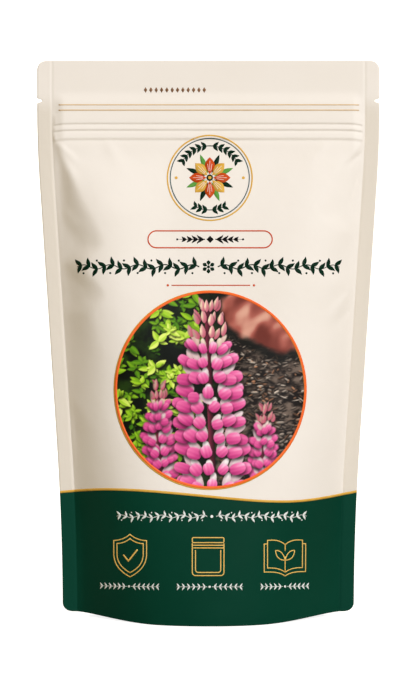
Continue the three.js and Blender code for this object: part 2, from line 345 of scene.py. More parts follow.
@dataclass
class PouchShape:
    """Shape of the filled pouch, the same for its panels, its gusset and its print.

    Film bends but does not stretch, so a panel's length between its side seals is the same at
    every height, and how far the sides draw in settles how far the panel bulges out.
    """

    half_width: float
    height: float
    zip_half_length: float
    zip_bottom: float
    zip_top: float
    filled_base_width: float = 102.5
    side_seal: float = 5.1
    film: float = 0.3
    corner_radius: float = 3.2
    bulge_top: float = 178.0
    ease_in: float = 24.0
    ease_out: float = 61.0
    corner_lift: float = 1.6
    lift_span: Pair = (0.38, 1.1)
    lift_fade: float = 14.0
    notch_height: float = 181.0
    notch_depth: float = 1.75
    notch_gap: float = 1.4
    zip_room: float = 1.35
    zip_margin: float = 0.4
    zip_foot: float = 9.0
    zip_crest: float = 6.0
    shoulder_top: float = 168.0
    shoulder_width: float = 14.0
    shoulder_growth: float = 16.0
    shoulder_start: float = 0.4
    foot_shoulder: float = 11.0
    foot_height: float = 70.0
    seal_ease: Pair = (1.2, 1.4)
    slope_share: float = 0.316
    print_drop: float = 0.13
    print_drop_top: float = 112.0
    bulge_table: tuple[Array, Array] = field(init=False)

    def __post_init__(self) -> None:
        """Tabulates the bulge once, since it takes a sum over each cross-section."""
        heights = np.linspace(0.0, self.height, 781)
        samples = np.linspace(0.0, 1.0, 61)[:, None]
        slopes = np.diff(self.section(samples, heights[None, :]), axis=0) * 60
        chord = self.chord(heights)
        spare = 2 * ((self.half_width - self.side_seal) / chord - 1)
        bulge = chord * np.sqrt(np.maximum(0.0, spare / np.mean(slopes**2, axis=0)))
        self.bulge_table = (heights, bulge)

    @classmethod
    def from_frame(cls) -> PouchShape:
        """Takes the outer sizes and the zip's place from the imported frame.

        Returns:
            The shape.
        """
        _, high = np.array(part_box("front_panel")) / MM
        zip_low, zip_high = np.array(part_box("zip_front")) / MM
        return cls(*(float(size) for size in (high[0], high[2], zip_high[0], zip_low[2], zip_high[2])))

    def narrowing(self, z: Array) -> Array:
        """Share of the sides' full narrowing at height z: 0 at the zip, 1 at the floor.

        It grows with the square of the way down at first, then evenly, then levels out.

        Args:
            z: heights.

        Returns:
            The share at each height.
        """
        down = np.clip(self.bulge_top - z, 0.0, self.bulge_top)
        total = self.bulge_top - (self.ease_in + self.ease_out) / 2
        begin = down**2 / (2 * self.ease_in) / total
        steady = (down - self.ease_in / 2) / total
        end = 1 - (self.bulge_top - down) ** 2 / (2 * self.ease_out) / total
        settled = np.where(down < self.bulge_top - self.ease_out, steady, end)
        return np.where(down < self.ease_in, begin, settled)

    def edge(self, z: Array) -> Array:
        """Half the distance between the outer edges of the side seals at height z."""
        return self.half_width - (self.half_width - self.filled_base_width / 2) * self.narrowing(z)

    def chord(self, z: Array) -> Array:
        """Half the distance between the inner edges of the side seals at height z."""
        return self.edge(z) - self.side_seal

    def foot(self, z: Array) -> Array:
        """Share of the foot's rounding at height z: 1 on the floor, 0 in the body."""
        return 1 - smoothstep(z, 0.0, self.foot_height)

    def section(self, t: Array, z: Array) -> Array:
        """Cross-section (1 - |t|^p)^q: 1 at the centre line, 0 at the side seals and level there.

        The power p is such that the slope falls off over the shoulder's width, which grows down
        from the zip and again towards the foot; q says how softly the panel leaves the seals.

        Args:
            t: share of the way from the middle to the side seals, -1 to 1.
            z: heights.

        Returns:
            The cross-section, from 0 to 1.
        """
        grown = 1 - np.exp(-np.maximum(self.shoulder_start, self.shoulder_top - z) / self.shoulder_growth)
        shoulder = self.shoulder_width * grown + self.foot_shoulder * self.foot(z)
        p = 1 + math.log(self.slope_share) / np.log(1 - shoulder / self.chord(z))
        q = self.seal_ease[0] + (self.seal_ease[1] - self.seal_ease[0]) * self.foot(z)
        return (1 - np.minimum(1.0, np.abs(t)) ** p) ** q

    def bulge(self, z: Array) -> Array:
        """How far a panel stands out at its centre line at height z, from the table."""
        return np.interp(z, *self.bulge_table)

    def room(self, x: Array, z: Array) -> Array:
        """Room for the zip between the middle plane and a panel: constant along it, closing past it.

        Args:
            x: positions along X.
            z: heights.

        Returns:
            The room at each point.
        """
        ends = self.zip_half_length + self.zip_margin
        along = 1 - smoothstep(np.abs(x), ends, self.half_width - self.side_seal)
        below = smoothstep(z, self.zip_bottom - self.zip_foot, self.zip_bottom - self.zip_margin)
        above = 1 - smoothstep(z, self.zip_top + self.zip_margin, self.zip_top + self.zip_crest)
        return self.zip_room * along * below * above

    def reach(self, x: Array, z: Array) -> Array:
        """Distance from the middle plane to a panel's inner face: root of bulge and zip room squared."""
        t = x / self.chord(z)
        return np.where(np.abs(t) >= 1, 0.0, np.hypot(self.bulge(z) * self.section(t, z), self.room(x, z)))

    def lift(self, t: Array) -> Array:
        """How far the bottom edge curls off the floor, t of the way from the middle to the seals."""
        return self.corner_lift * smoothstep(np.abs(t), *self.lift_span)

    def outline(self, z: Array) -> Array:
        """Half width at height z with round corners and the round-ended tear notch cut out of it.

        Args:
            z: heights.

        Returns:
            The half width at each height.
        """
        below = np.maximum(0.0, self.corner_radius - np.minimum(z, self.height - z))
        corner = self.corner_radius - np.sqrt(np.maximum(0.0, self.corner_radius**2 - below**2))
        across = np.minimum(1.0, np.abs(z - self.notch_height) / (self.notch_gap / 2))
        return self.edge(z) - corner - self.notch_depth * np.sqrt(1 - across**2)

    def drop(self, x: Array, z: Array) -> Array:
        """How much lower than at the centre line a level printed line lies at x.

        Film that turns back towards the side seals is drawn down by a share of the way back, most
        at the floor and not at all above print_drop_top.
        """
        back = self.reach(np.zeros_like(x), z) - self.reach(x, z)
        return self.print_drop * back * np.maximum(0.0, 1 - z / self.print_drop_top)


@dataclass(frozen=True)
class ZipRib:
    """One rib of the zip: the heights it lies between, how far it stands out and how soon it drops."""

    top: float
    bottom: float
    rise: float
    drop: float


@dataclass(frozen=True)
class Fold:
    """Soft crease between two points: its height, negative for a furrow, and its half width."""

    x0: float
    z0: float
    x1: float
    z1: float
    height: float
    half: float


@dataclass
class FilmRelief:
    """Low relief that filling, sealing and handling leave in a panel, outwards in millimetres.

    The knots of slopes give, by depth below the zip, how far inside the seal the fullness begins
    to rise and how far inside it is whole.
    """

    shape: PouchShape
    seed: int
    ribs: tuple[ZipRib, ...] = (
        ZipRib(177.0, 172.6, 0.44, 0.55),
        ZipRib(172.6, 170.35, 0.5, 0.55),
        ZipRib(170.35, 166.95, 0.6, 0.95),
    )
    rib_end: float = 54.5
    rib_fade: float = 1.0
    rib_sag: float = 0.7
    rib_sag_length: float = 2.6
    fullness: Pair = (3.1, 0.85)
    slopes: tuple[Triple, ...] = (
        (0.0, 0.2, 2.0), (10.0, 0.3, 6.0), (20.0, 0.6, 10.5), (28.0, 1.8, 14.5), (36.0, 5.0, 17.5),
        (43.0, 0.5, 10.5), (54.0, 3.0, 16.5), (61.0, 0.8, 12.0), (76.0, 1.0, 14.5), (130.0, 1.0, 15.0),
    )
    right_shift: float = 11.0
    fullness_top: float = 12.0
    fullness_onset: float = 26.0
    fullness_fade: Pair = (46.0, 92.0)
    fullness_lost: float = 0.92
    fullness_end: Pair = (14.0, 42.0)
    wander: float = 0.25
    wander_cell: float = 13.0
    seal_groove: float = 0.16
    groove_half: float = 0.42
    seal_grip: float = 0.02
    grip_pitch: float = 1.1
    grip_start: Pair = (0.5, 1.2)
    pucker: float = 0.34
    pucker_cell: float = 15.0
    pucker_slant: float = 0.3
    pucker_start: float = 2.5
    pucker_reach: float = 9.0
    pucker_top: float = 14.0
    sway: float = 0.22
    sway_cell: float = 34.0
    rumple: float = 0.105
    rumple_cell: float = 9.0
    loose_start: float = 12.0
    held_below_zip: float = 4.0
    held_above_zip: float = 2.0
    fold_rise: Pair = (-0.1, 0.3)
    fold_fall: Pair = (0.5, 1.15)
    fold_slimness: float = 0.6
    folds: tuple[Fold, ...] = (
        Fold(-53.6, 166.6, -44.0, 148.0, 0.55, 1.5),
        Fold(-52.5, 160.0, -49.0, 141.0, -0.3, 2.0),
        Fold(-53.0, 166.4, -45.0, 158.0, 0.5, 1.2),
        Fold(-36.0, 167.0, -29.0, 155.0, 0.3, 2.2),
        Fold(54.4, 166.8, 44.0, 154.5, 0.5, 1.7),
        Fold(42.0, 167.0, 33.0, 157.0, 0.3, 2.2),
        Fold(54.0, 163.0, 46.0, 156.0, -0.35, 1.0),
        Fold(53.0, 158.0, 50.0, 139.0, -0.25, 2.0),
        Fold(-50.5, 143.0, -43.5, 133.0, 0.22, 2.0),
        Fold(-49.0, 118.0, -41.0, 108.0, 0.2, 2.4),
        Fold(49.8, 114.0, 40.5, 103.0, 0.36, 1.5),
        Fold(50.0, 108.5, 43.5, 101.0, -0.2, 1.2),
        Fold(-47.0, 78.0, -40.5, 62.0, 0.16, 2.6),
        Fold(47.0, 84.0, 41.5, 70.0, 0.16, 2.6),
    )

    def inside(self, x: Array, z: Array) -> Array:
        """How far inside the inner edge of its side seal each point lies."""
        return self.shape.chord(z) - np.abs(x)

    def zip_ribs(self, x: Array, z: Array) -> Array:
        """Ribs of the zip showing through: each swells slowly on the way down and drops back sharply.

        They sag towards their ends, as the film is drawn down into the side seals there.

        Args:
            x: positions along X.
            z: heights.

        Returns:
            Their height.
        """
        total = np.zeros_like(z)
        z = z + self.rib_sag * np.exp((np.abs(x) - self.rib_end) / self.rib_sag_length)
        for rib in self.ribs:
            swell = np.sin(np.pi / 2 * np.clip((rib.top - z) / (rib.top - rib.bottom), 0.0, 1.0))
            total += rib.rise * swell * smoothstep(z, rib.bottom, rib.bottom + rib.drop)
        return total * (1 - smoothstep(np.abs(x), self.rib_end - self.rib_fade, self.rib_end))

    def seals(self, x: Array, z: Array) -> Array:
        """A groove along the inner edge of each side seal, and the faint grip of the sealing jaws.

        Args:
            x: positions along X.
            z: heights.

        Returns:
            Their height.
        """
        outside = -self.inside(x, z)
        groove = -self.seal_groove * np.exp(-((outside / self.groove_half) ** 2))
        turn = 2 * np.pi / self.grip_pitch
        grip = self.seal_grip * np.cos(turn * (x + z)) * np.cos(turn * (x - z))
        return groove + grip * smoothstep(outside, *self.grip_start)

    def shoulders(self, x: Array, z: Array) -> Array:
        """Fullness beside each side seal, most on the left: a steep slope up, a slow fall inwards.

        The slope starts at the seal below the zip and moves inwards on the way down. Twice it steps
        back towards the seal, which leaves the ends of two broad folds.

        Args:
            x: positions along X.
            z: heights.

        Returns:
            Its height.
        """
        inside = self.inside(x, z)
        below = self.shape.zip_bottom - z
        down = below + np.where(x > 0, self.right_shift, 0.0)
        depths, *bounds = np.array(self.slopes).T
        curves = (np.stack([depths, bound, even_slopes(depths, bound)], axis=-1) for bound in bounds)
        start, end = (hermite(knots, down) for knots in curves)
        side = 40.0 * np.sign(x)
        most = np.where(x < 0, *self.fullness)
        most = most * (1 + self.wander * lattice_noise(z, side, self.wander_cell, self.seed + 50))
        kept = 1 - self.fullness_lost * smoothstep(down, *self.fullness_fade)
        rise = smoothstep((inside - start) / (end - start), 0.0, 1.0)
        fall = 1 - smoothstep(inside, *self.fullness_end)
        onset = smoothstep(down, 0.0, self.fullness_onset) * smoothstep(below, 0.0, self.fullness_top)
        return most * onset * kept * rise * fall

    def puckers(self, x: Array, z: Array) -> Array:
        """Waves along the side seals, of random length, that fade out into the panel.

        Args:
            x: positions along X.
            z: heights.

        Returns:
            Their height.
        """
        inside = self.inside(x, z)
        side = 500.0 * np.sign(x)
        wave = layered_noise(z + side, self.pucker_slant * inside, self.pucker_cell, self.seed, 2)
        reach = np.exp(-np.maximum(0.0, inside) / self.pucker_reach)
        below_zip = 1 - smoothstep(z, self.shape.zip_bottom - self.pucker_top, self.shape.zip_bottom)
        return self.pucker * wave * reach * smoothstep(inside, 0.0, self.pucker_start) * below_zip

    def hand_folds(self, x: Array, z: Array) -> Array:
        """Soft creases: bell-shaped ridges that widen on the way along and fade at both ends.

        Args:
            x: positions along X.
            z: heights.

        Returns:
            Their height.
        """
        total = np.zeros_like(z)
        for fold in self.folds:
            run = math.hypot(fold.x1 - fold.x0, fold.z1 - fold.z0)
            ax, az = (fold.x1 - fold.x0) / run, (fold.z1 - fold.z0) / run
            along = ((x - fold.x0) * ax + (z - fold.z0) * az) / run
            across = (x - fold.x0) * az - (z - fold.z0) * ax
            ends = smoothstep(along, *self.fold_rise) * (1 - smoothstep(along, *self.fold_fall))
            half = fold.half * (self.fold_slimness + along.clip(0.0, 1.0))
            total += fold.height * ends * np.exp(-((across / half) ** 2))
        return total

    def at(self, x: Array, z: Array) -> Array:
        """The whole relief at (x, z): ribs, seals, shoulders, puckers, folds and the film's own sway.

        Args:
            x: positions along X.
            z: heights.

        Returns:
            Its height.
        """
        body = smoothstep(self.inside(x, z), 0.0, self.loose_start)
        sway = self.sway * layered_noise(x + 300.0, z, self.sway_cell, self.seed + 20, 2)
        rumple = self.rumple * layered_noise(x, z + 100.0, self.rumple_cell, self.seed + 30, 3)
        held = self.shape.zip_bottom - self.held_below_zip, self.shape.zip_bottom + self.held_above_zip
        loose = (sway + rumple) * body * (1 - smoothstep(z, *held))
        edges = self.seals(x, z) + self.shoulders(x, z) + self.puckers(x, z)
        return self.zip_ribs(x, z) + edges + self.hand_folds(x, z) + loose


@dataclass
class FilmFace:
    """Outer face of one panel, on which its print lies."""

    shape: PouchShape
    relief: FilmRelief
    side: int
    step: float = 0.05
    drop_rounds: int = 3

    def raised(self, x: Array, z: Array) -> Array:
        """Heights of the points at (x, z), which follow the curled bottom edge near the floor."""
        shape = self.shape
        return z + shape.lift(x / shape.chord(z)) * (1 - smoothstep(z, 0.0, shape.lift_fade))

    def outer(self, x: Array, z: Array) -> Array:
        """Points of the outer face: as far out as the inner face, the film and its relief."""
        out = self.shape.reach(x, z) + self.shape.film + self.relief.at(x, z)
        return np.stack([x, self.side * out, self.raised(x, z)], axis=-1)

    def inner(self, x: Array, z: Array) -> Array:
        """Points of the inner face at (x, z)."""
        return np.stack([x, self.side * self.shape.reach(x, z), self.raised(x, z)], axis=-1)

    def printed(self, x: Array, v: Array, above: float | Array) -> Array:
        """Points at print positions (x, v), above the film along its normal.

        The normal is the cross product of the face's two directions, taken over a small step.

        Args:
            x: positions along X.
            v: heights that the positions have at the centre line.
            above: height above the film.

        Returns:
            The points.
        """
        z = v.copy()
        for _ in range(self.drop_rounds):
            z = v - self.shape.drop(x, z)
        point = self.outer(x, z)
        along = self.outer(x + self.step, z) - point
        up = self.outer(x, z + self.step) - point
        normal = np.cross(along, up) * -self.side
        normal /= np.linalg.norm(normal, axis=-1, keepdims=True)
        return point + normal * np.asarray(above)[..., None]


# ---- Colours and materials ----


def to_linear(shown: Array) -> Array:
    """Linear light from 0 to 255 display values, by the standard display curve."""
    share = np.clip(np.asarray(shown, float) / 255, 0.0, 1.0)
    return np.where(share <= 0.04045, share / 12.92, ((share + 0.055) / 1.055) ** 2.4)


def linear(red: int, green: int, blue: int) -> Rgba:
    """Linear colour from the 0 to 255 display values of its red, green and blue."""
    return (*[float(c) for c in to_linear([red, green, blue])], 1.0)


@dataclass
class NodeTree:
    """Short ways to add and join nodes in a material or a node group."""

    tree: bpy.types.NodeTree

    def add(self, kind: str, **settings: object) -> bpy.types.Node:
        """Adds a node of a kind and applies its settings.

        Args:
            kind: the node's type.
            settings: properties by name, and inputs as in_0 or in_Scale: a value, or a socket to link.

        Returns:
            The node.
        """
        node = self.tree.nodes.new(kind)
        for key, value in settings.items():
            if not key.startswith("in_"):
                setattr(node, key, value)
                continue
            slot = key[3:]
            target = node.inputs[int(slot) if slot.isdigit() else slot.replace("_", " ")]
            if isinstance(value, Socket):
                self.join(value, target)
            else:
                target.default_value = value
        return node

    def join(self, source: Socket, target: Socket) -> None:
        """Links one socket to another."""
        self.tree.links.new(source, target)

    def noise(self, vector: Socket, **settings: object) -> Socket:
        """Adds a noise over a vector and returns its value from 0 to 1."""
        return self.add("ShaderNodeTexNoise", in_Vector=vector, **settings).outputs["Fac"]

    def combine(self, operation: str, first: Socket, second: Socket | float) -> Socket:
        """Adds a sum, product or comparison of two values and returns its result."""
        return self.add("ShaderNodeMath", operation=operation, in_0=first, in_1=second).outputs[0]

    def mix(self, factor: Socket, low: Rgba | Socket, high: Rgba | Socket) -> Socket:
        """Blends from one colour to another by a factor, and returns the blend."""
        return self.add("ShaderNodeMix", data_type="RGBA", in_Factor=factor, in_6=low, in_7=high).outputs[2]

    def stretch(self, value: Socket, source: Pair = (0.0, 1.0), target: Pair = (0.0, 1.0)) -> Socket:
        """Maps a value evenly from one range to another, held at its ends."""
        ends = {f"in_{k}": end for k, end in enumerate((*source, *target), 1)}
        return self.add("ShaderNodeMapRange", in_0=value, **ends).outputs["Result"]

    def lens_ray(self) -> Socket:
        """Tells rays straight to the lens, 1, from light on the pouch, 0."""
        return self.add("ShaderNodeLightPath").outputs["Is Camera Ray"]


class Groups:
    """Shader node groups that several finishes share, each built once."""

    _built: dict[str, bpy.types.NodeTree] = {}

    @classmethod
    def film_grain(cls) -> bpy.types.NodeTree:
        """Fine grain of matte film: a mottle from 0 to 1 and a height from pores and soft ripples.

        Returns:
            A group with the input Vector and the outputs Mottle and Height.
        """
        if "film_grain" in cls._built:
            return cls._built["film_grain"]
        group = bpy.data.node_groups.new("film_grain", "ShaderNodeTree")
        face = group.interface
        face.new_socket("Vector", in_out="INPUT", socket_type="NodeSocketVector")
        for name in ("Mottle", "Height"):
            face.new_socket(name, in_out="OUTPUT", socket_type="NodeSocketFloat")
        nodes = NodeTree(group)
        vector = nodes.add("NodeGroupInput").outputs["Vector"]
        pores = nodes.noise(vector, in_Scale=2200.0, in_Detail=2.0, in_Roughness=0.6)
        ripples = nodes.noise(vector, in_Scale=170.0, in_Detail=3.0, in_Roughness=0.55, in_Distortion=0.4)
        mottle = nodes.noise(vector, in_Scale=38.0, in_Detail=4.0, in_Roughness=0.5)
        height = nodes.combine("ADD", nodes.combine("MULTIPLY", pores, 0.12), ripples)
        nodes.add("NodeGroupOutput", in_Mottle=mottle, in_Height=height)
        cls._built["film_grain"] = group
        return group


class Coat(NodeTree):
    """A new material whose Principled shader is fed by short calls."""

    def __init__(self, name: str, **values: float | Rgba) -> None:
        """Starts the material.

        Args:
            name: its name.
            values: plain values of the shader's inputs by name, with _ for a space.
        """
        self.material = bpy.data.materials.new(name)
        self.material.use_nodes = True
        super().__init__(self.material.node_tree)
        self.shader = self.tree.nodes["Principled BSDF"]
        self.place = self.add("ShaderNodeTexCoord").outputs["Object"]
        for key, value in values.items():
            self.shader.inputs[key.replace("_", " ")].default_value = value

    def grain(self) -> tuple[Socket, Socket]:
        """Adds the film grain over the piece and returns its mottle and its height."""
        group = self.add("ShaderNodeGroup", node_tree=Groups.film_grain(), in_Vector=self.place)
        return group.outputs["Mottle"], group.outputs["Height"]

    def attribute(self, name: str, output: str = "Fac") -> Socket:
        """Reads an attribute of the piece."""
        return self.add("ShaderNodeAttribute", attribute_name=name).outputs[output]

    def feed(self, name: str, source: Socket) -> None:
        """Feeds an input of the shader."""
        self.join(source, self.shader.inputs[name])

    def emboss(self, height: Socket, strength: float, distance: float) -> None:
        """Raises the surface by a height, as far as the given distance."""
        bump = self.add("ShaderNodeBump", in_Strength=strength, in_Distance=distance, in_Height=height)
        self.feed("Normal", bump.outputs["Normal"])


@dataclass(frozen=True)
class FilmFinish:
    """Matte printed laminate: one ground colour above the wave line and one below it."""

    name: str
    upper: Rgba = linear(243, 236, 226)
    paler: Rgba = linear(239, 231, 219)
    # strip: painted shade, a darker cream on the side seals for the shade of the bulging body beside them
    strip: Rgba = linear(228, 219, 204)
    lower: Rgba = linear(7, 64, 47)
    deeper: Rgba = linear(3, 55, 39)
    lower_strip: Rgba = linear(9, 64, 48)
    roughness: Pair = (0.46, 0.55)
    ripple_height: float = 0.00006
    gloss: float = 0.05

    def material(self) -> Material:
        """Builds the material.

        The piece's band attribute is the height above the wave line, and its sealed attribute is 1
        on the side seals. On the cream ground these are painted a little darker: painted shade, standing
        in for the shade that the bulging body throws on them.

        Returns:
            The material.
        """
        coat = Coat(self.name, Specular_IOR_Level=self.gloss)
        mottle, height = coat.grain()
        sealed = coat.attribute("sealed")
        # where sealed is 1 the cream takes the darker strip colour, a painted shade on the seal strips
        cream = coat.mix(sealed, coat.mix(mottle, self.paler, self.upper), self.strip)
        green = coat.mix(sealed, coat.mix(mottle, self.deeper, self.lower), self.lower_strip)
        above = coat.combine("GREATER_THAN", coat.attribute("band"), 0.0)
        coat.feed("Base Color", coat.mix(above, green, cream))
        coat.feed("Roughness", coat.stretch(mottle, target=self.roughness))
        coat.emboss(height, 1.0, self.ripple_height)
        return coat.material


@dataclass(frozen=True)
class InkFinish:
    """A printed ink: its colour, a slightly lighter colour where it lies thin, and its gloss."""

    name: str
    full: Rgba
    thin: Rgba
    roughness: float = 0.45
    gloss: float = 0.06
    density: Pair = (0.35, 0.65)
    bump_height: float = 0.00003

    def material(self) -> Material:
        """Builds the material, whose density wanders with the film's grain.

        Returns:
            The material.
        """
        coat = Coat(self.name, Roughness=self.roughness, Specular_IOR_Level=self.gloss)
        height = coat.grain()[1]
        coat.feed("Base Color", coat.mix(coat.stretch(height, self.density), self.full, self.thin))
        coat.emboss(height, 0.6, self.bump_height)
        return coat.material


@dataclass(frozen=True)
class PictureFinish:
    """Printed picture: its colours come from the piece's paint attribute, with the film's own grain."""

    name: str
    roughness: float = 0.46
    gloss: float = 0.12
    bump_height: float = 0.00004
    screen: Pair = (0.95, 1.05)

    def material(self) -> Material:
        """Builds the material; the grain darkens the colours a little, as a print screen does.

        Returns:
            The material.
        """
        coat = Coat(self.name, Roughness=self.roughness, Specular_IOR_Level=self.gloss)
        mottle, height = coat.grain()
        screen = coat.stretch(mottle, target=self.screen)
        paint = coat.attribute("paint", "Color")
        screened = coat.add("ShaderNodeVectorMath", operation="SCALE", in_0=paint, in_Scale=screen)
        coat.feed("Base Color", screened.outputs[0])
        coat.emboss(height, 0.6, self.bump_height)
        return coat.material


@dataclass(frozen=True)
class ZipFinish:
    """Milky extruded plastic with fine lines along its length."""

    name: str
    milky: Rgba = linear(243, 241, 232)
    clear: Rgba = linear(228, 228, 220)
    roughness: float = 0.32
    depth_glow: float = 0.15
    line_scale: float = 900.0
    line_stretch: Triple = (0.02, 1.0, 1.0)
    line_depth: float = 0.00003

    def material(self) -> Material:
        """Builds the material; the lines are noise stretched along X.

        Returns:
            The material.
        """
        coat = Coat(self.name, Roughness=self.roughness, Subsurface_Weight=self.depth_glow)
        along = coat.add("ShaderNodeMapping", in_Vector=coat.place, in_Scale=self.line_stretch)
        lines = coat.noise(along.outputs["Vector"], in_Scale=self.line_scale, in_Detail=2.0)
        coat.feed("Base Color", coat.mix(lines, self.clear, self.milky))
        coat.emboss(lines, 0.8, self.line_depth)
        return coat.material


@dataclass(frozen=True)
class SeedFinish:
    """Smooth dry seed coat: pale brown with dark mottles of two sizes."""

    name: str
    pale: Rgba = linear(150, 122, 90)
    brown: Rgba = linear(92, 66, 44)
    dark: Rgba = linear(40, 28, 20)
    patch_scale: float = 620.0
    patch_edge: Pair = (0.42, 0.58)
    fleck_scale: float = 2100.0
    fleck_edge: Pair = (0.56, 0.62)
    roughness: float = 0.42
    bump_height: float = 0.00005

    def material(self) -> Material:
        """Builds the material: a noise for the patches, a finer one for the dark flecks.

        Returns:
            The material.
        """
        coat = Coat(self.name, Roughness=self.roughness)
        patches = coat.noise(coat.place, in_Scale=self.patch_scale, in_Detail=3.0)
        flecks = coat.noise(coat.place, in_Scale=self.fleck_scale, in_Detail=2.0)
        ground = coat.mix(coat.stretch(patches, self.patch_edge), self.brown, self.pale)
        coat.feed("Base Color", coat.mix(coat.stretch(flecks, self.fleck_edge), ground, self.dark))
        coat.emboss(flecks, 0.4, self.bump_height)
        return coat.material


class Ink(Enum):
    """Inks of the print, each with its own finish."""

    TAN = InkFinish("ink_tan", linear(222, 190, 146), linear(228, 200, 160))
    BROWN = InkFinish("ink_brown", linear(122, 86, 56), linear(140, 102, 72))
    STRAW = InkFinish("ink_straw", linear(246, 194, 96), linear(248, 204, 112))
    GOLD = InkFinish("ink_gold", linear(218, 164, 58), linear(226, 178, 80), roughness=0.38)
    ORANGE = InkFinish("ink_orange", linear(252, 104, 44), linear(254, 118, 56))
    RUST = InkFinish("ink_rust", linear(202, 66, 16), linear(208, 84, 34))
    SALMON = InkFinish("ink_salmon", linear(202, 70, 26), linear(208, 84, 40))
    DARK = InkFinish("ink_dark_green", linear(0, 32, 16), linear(4, 42, 26))
    SLATE = InkFinish("ink_slate", linear(54, 78, 84), linear(70, 94, 98))
    LEAF = InkFinish("ink_leaf_green", linear(80, 146, 56), linear(100, 162, 72))
    BLACK = InkFinish("ink_black", linear(5, 5, 5), linear(14, 14, 14))
    WHITE = InkFinish("ink_white", linear(246, 248, 244), linear(232, 236, 230))


# ---- Film panels ----


@dataclass
class WaveLine:
    """Line where the print's cream ground meets its green foot: crest on the left, trough on the right."""

    knots: tuple[Triple, ...] = (
        (-52.5, 45.15, 0.1),
        (-34.3, 46.25, 0.0),
        (-3.9, 44.3, -0.095),
        (26.4, 42.15, 0.0),
        (52.0, 45.4, 0.19),
    )
    width: float = 0.78

    def height(self, x: Array) -> Array:
        """Height of the line at x, at the centre line's measure."""
        return hermite(np.array(self.knots), x)


@dataclass
class FilmPanel:
    """One film panel, its outer face fine enough for its relief and its inner face coarser.

    Its finer places are given by a half width and a fineness, as crowded takes them.
    """

    face: FilmFace
    wave: WaveLine
    finish: FilmFinish
    node: str
    slot: str
    rows: int = 384
    columns: int = 232
    stride: int = 4
    fine_zip: Triple = (172.0, 7.0, 0.55)
    fine_notch: Pair = (1.4, 0.8)
    fine_end: Pair = (3.0, 0.6)
    fine_seal: Pair = (1.6, 0.6)
    seal_start: Pair = (-0.1, 0.3)
    seal_top: Pair = (176.0, 184.0)

    def grid(self) -> tuple[Array, Array]:
        """Lays out the outer face's grid.

        Rows crowd at the zip, the notches and the corners. Columns run in t from -1 to 1 across
        the body and on to -2 and 2 across the seal strips, whose outer side is the cut outline.

        Returns:
            Positions x and z, rows by columns.
        """
        shape = self.face.shape
        body = shape.half_width - shape.side_seal
        z = crowded(0.0, shape.height, self.rows, [
            self.fine_zip,
            (shape.notch_height, *self.fine_notch),
            (shape.height, *self.fine_end),
            (0.0, *self.fine_end),
        ])
        seals = [(side * body, *self.fine_seal) for side in (-1, 1)]
        across = crowded(-shape.half_width, shape.half_width, self.columns, seals)
        strip = np.maximum(0.0, np.abs(across) - body) / shape.side_seal
        inner = np.minimum(1.0, np.abs(across) / body)
        chord, outline = shape.chord(z)[:, None], shape.outline(z)[:, None]
        x = np.sign(across) * (inner * chord + strip * (outline - chord))
        return x, np.broadcast_to(z[:, None], x.shape)

    def build(self) -> None:
        """Builds the panel, with its band and sealed attributes, in its node's place."""
        shape = self.face.shape
        x, z = self.grid()
        if self.face.side == BACK:
            x = -x
        coarse = (slice(None, None, self.stride),) * 2
        builder = MeshBuilder()
        builder.add_sheet(self.face.outer(x, z), self.face.inner(x[coarse], z[coarse]), self.stride)
        piece = builder.build(f"{self.node}_film")
        band = z + shape.drop(x, z) - self.wave.height(x)
        # sealed is 1 on the side seal strips, where the material paints the cream darker as painted shade
        sealed = smoothstep(np.abs(x) - shape.chord(z), *self.seal_start)
        sealed = sealed * (1 - smoothstep(z, *self.seal_top))
        for name, values in (("band", band), ("sealed", sealed)):
            add_values(piece, name, np.concatenate([values.ravel(), values[coarse].ravel()]))
        install(piece, self.finish.material(), self.slot, self.node)


# ---- Print: shapes as grids of print positions ----


@dataclass(frozen=True)
class Patch:
    """A grid of print positions, rows by columns by 2; a ring's last column joins its first."""

    grid: Array
    ring: bool = False


def spaced_path(points: list[Pair | Array] | tuple[Pair, ...], step: float = 1.0) -> Array:
    """Polyline with extra points so that none of its steps is longer than the given step.

    Args:
        points: corners of the line.
        step: longest step.

    Returns:
        The points of the line, corners included.
    """
    corners = np.array(points, float)
    runs = np.hypot(*np.diff(corners, axis=0).T)
    parts = [
        np.linspace(corners[k], corners[k + 1], max(2, math.ceil(run / step) + 1))[:-1]
        for k, run in enumerate(runs)
    ]
    return np.concatenate([*parts, corners[-1:]])


def bend(points: list[Pair | Array] | tuple[Pair, ...], steps: int = 12) -> Array:
    """Bezier curve of any degree: each point's weight is its Bernstein polynomial.

    Args:
        points: control points.
        steps: steps along the curve.

    Returns:
        steps + 1 points.
    """
    control = np.array(points, float)
    degree = len(control) - 1
    s = np.linspace(0.0, 1.0, steps + 1)[:, None]
    weights = (math.comb(degree, k) * s**k * (1 - s) ** (degree - k) for k in range(degree + 1))
    return sum(weight * point for weight, point in zip(weights, control))


def oval(centre: Pair, radii: Pair, start: float, end: float, steps: int) -> Array:
    """Points of an oval from one angle to another, in degrees from the right, anticlockwise."""
    turn = np.radians(np.linspace(start, end, steps + 1))
    return np.stack([centre[0] + radii[0] * np.cos(turn), centre[1] + radii[1] * np.sin(turn)], axis=-1)


def closed_oval(centre: Pair, radii: Pair, steps: int) -> Array:
    """Points of a whole oval, without a second one at its end."""
    return oval(centre, radii, 0.0, 360.0, steps)[:-1]


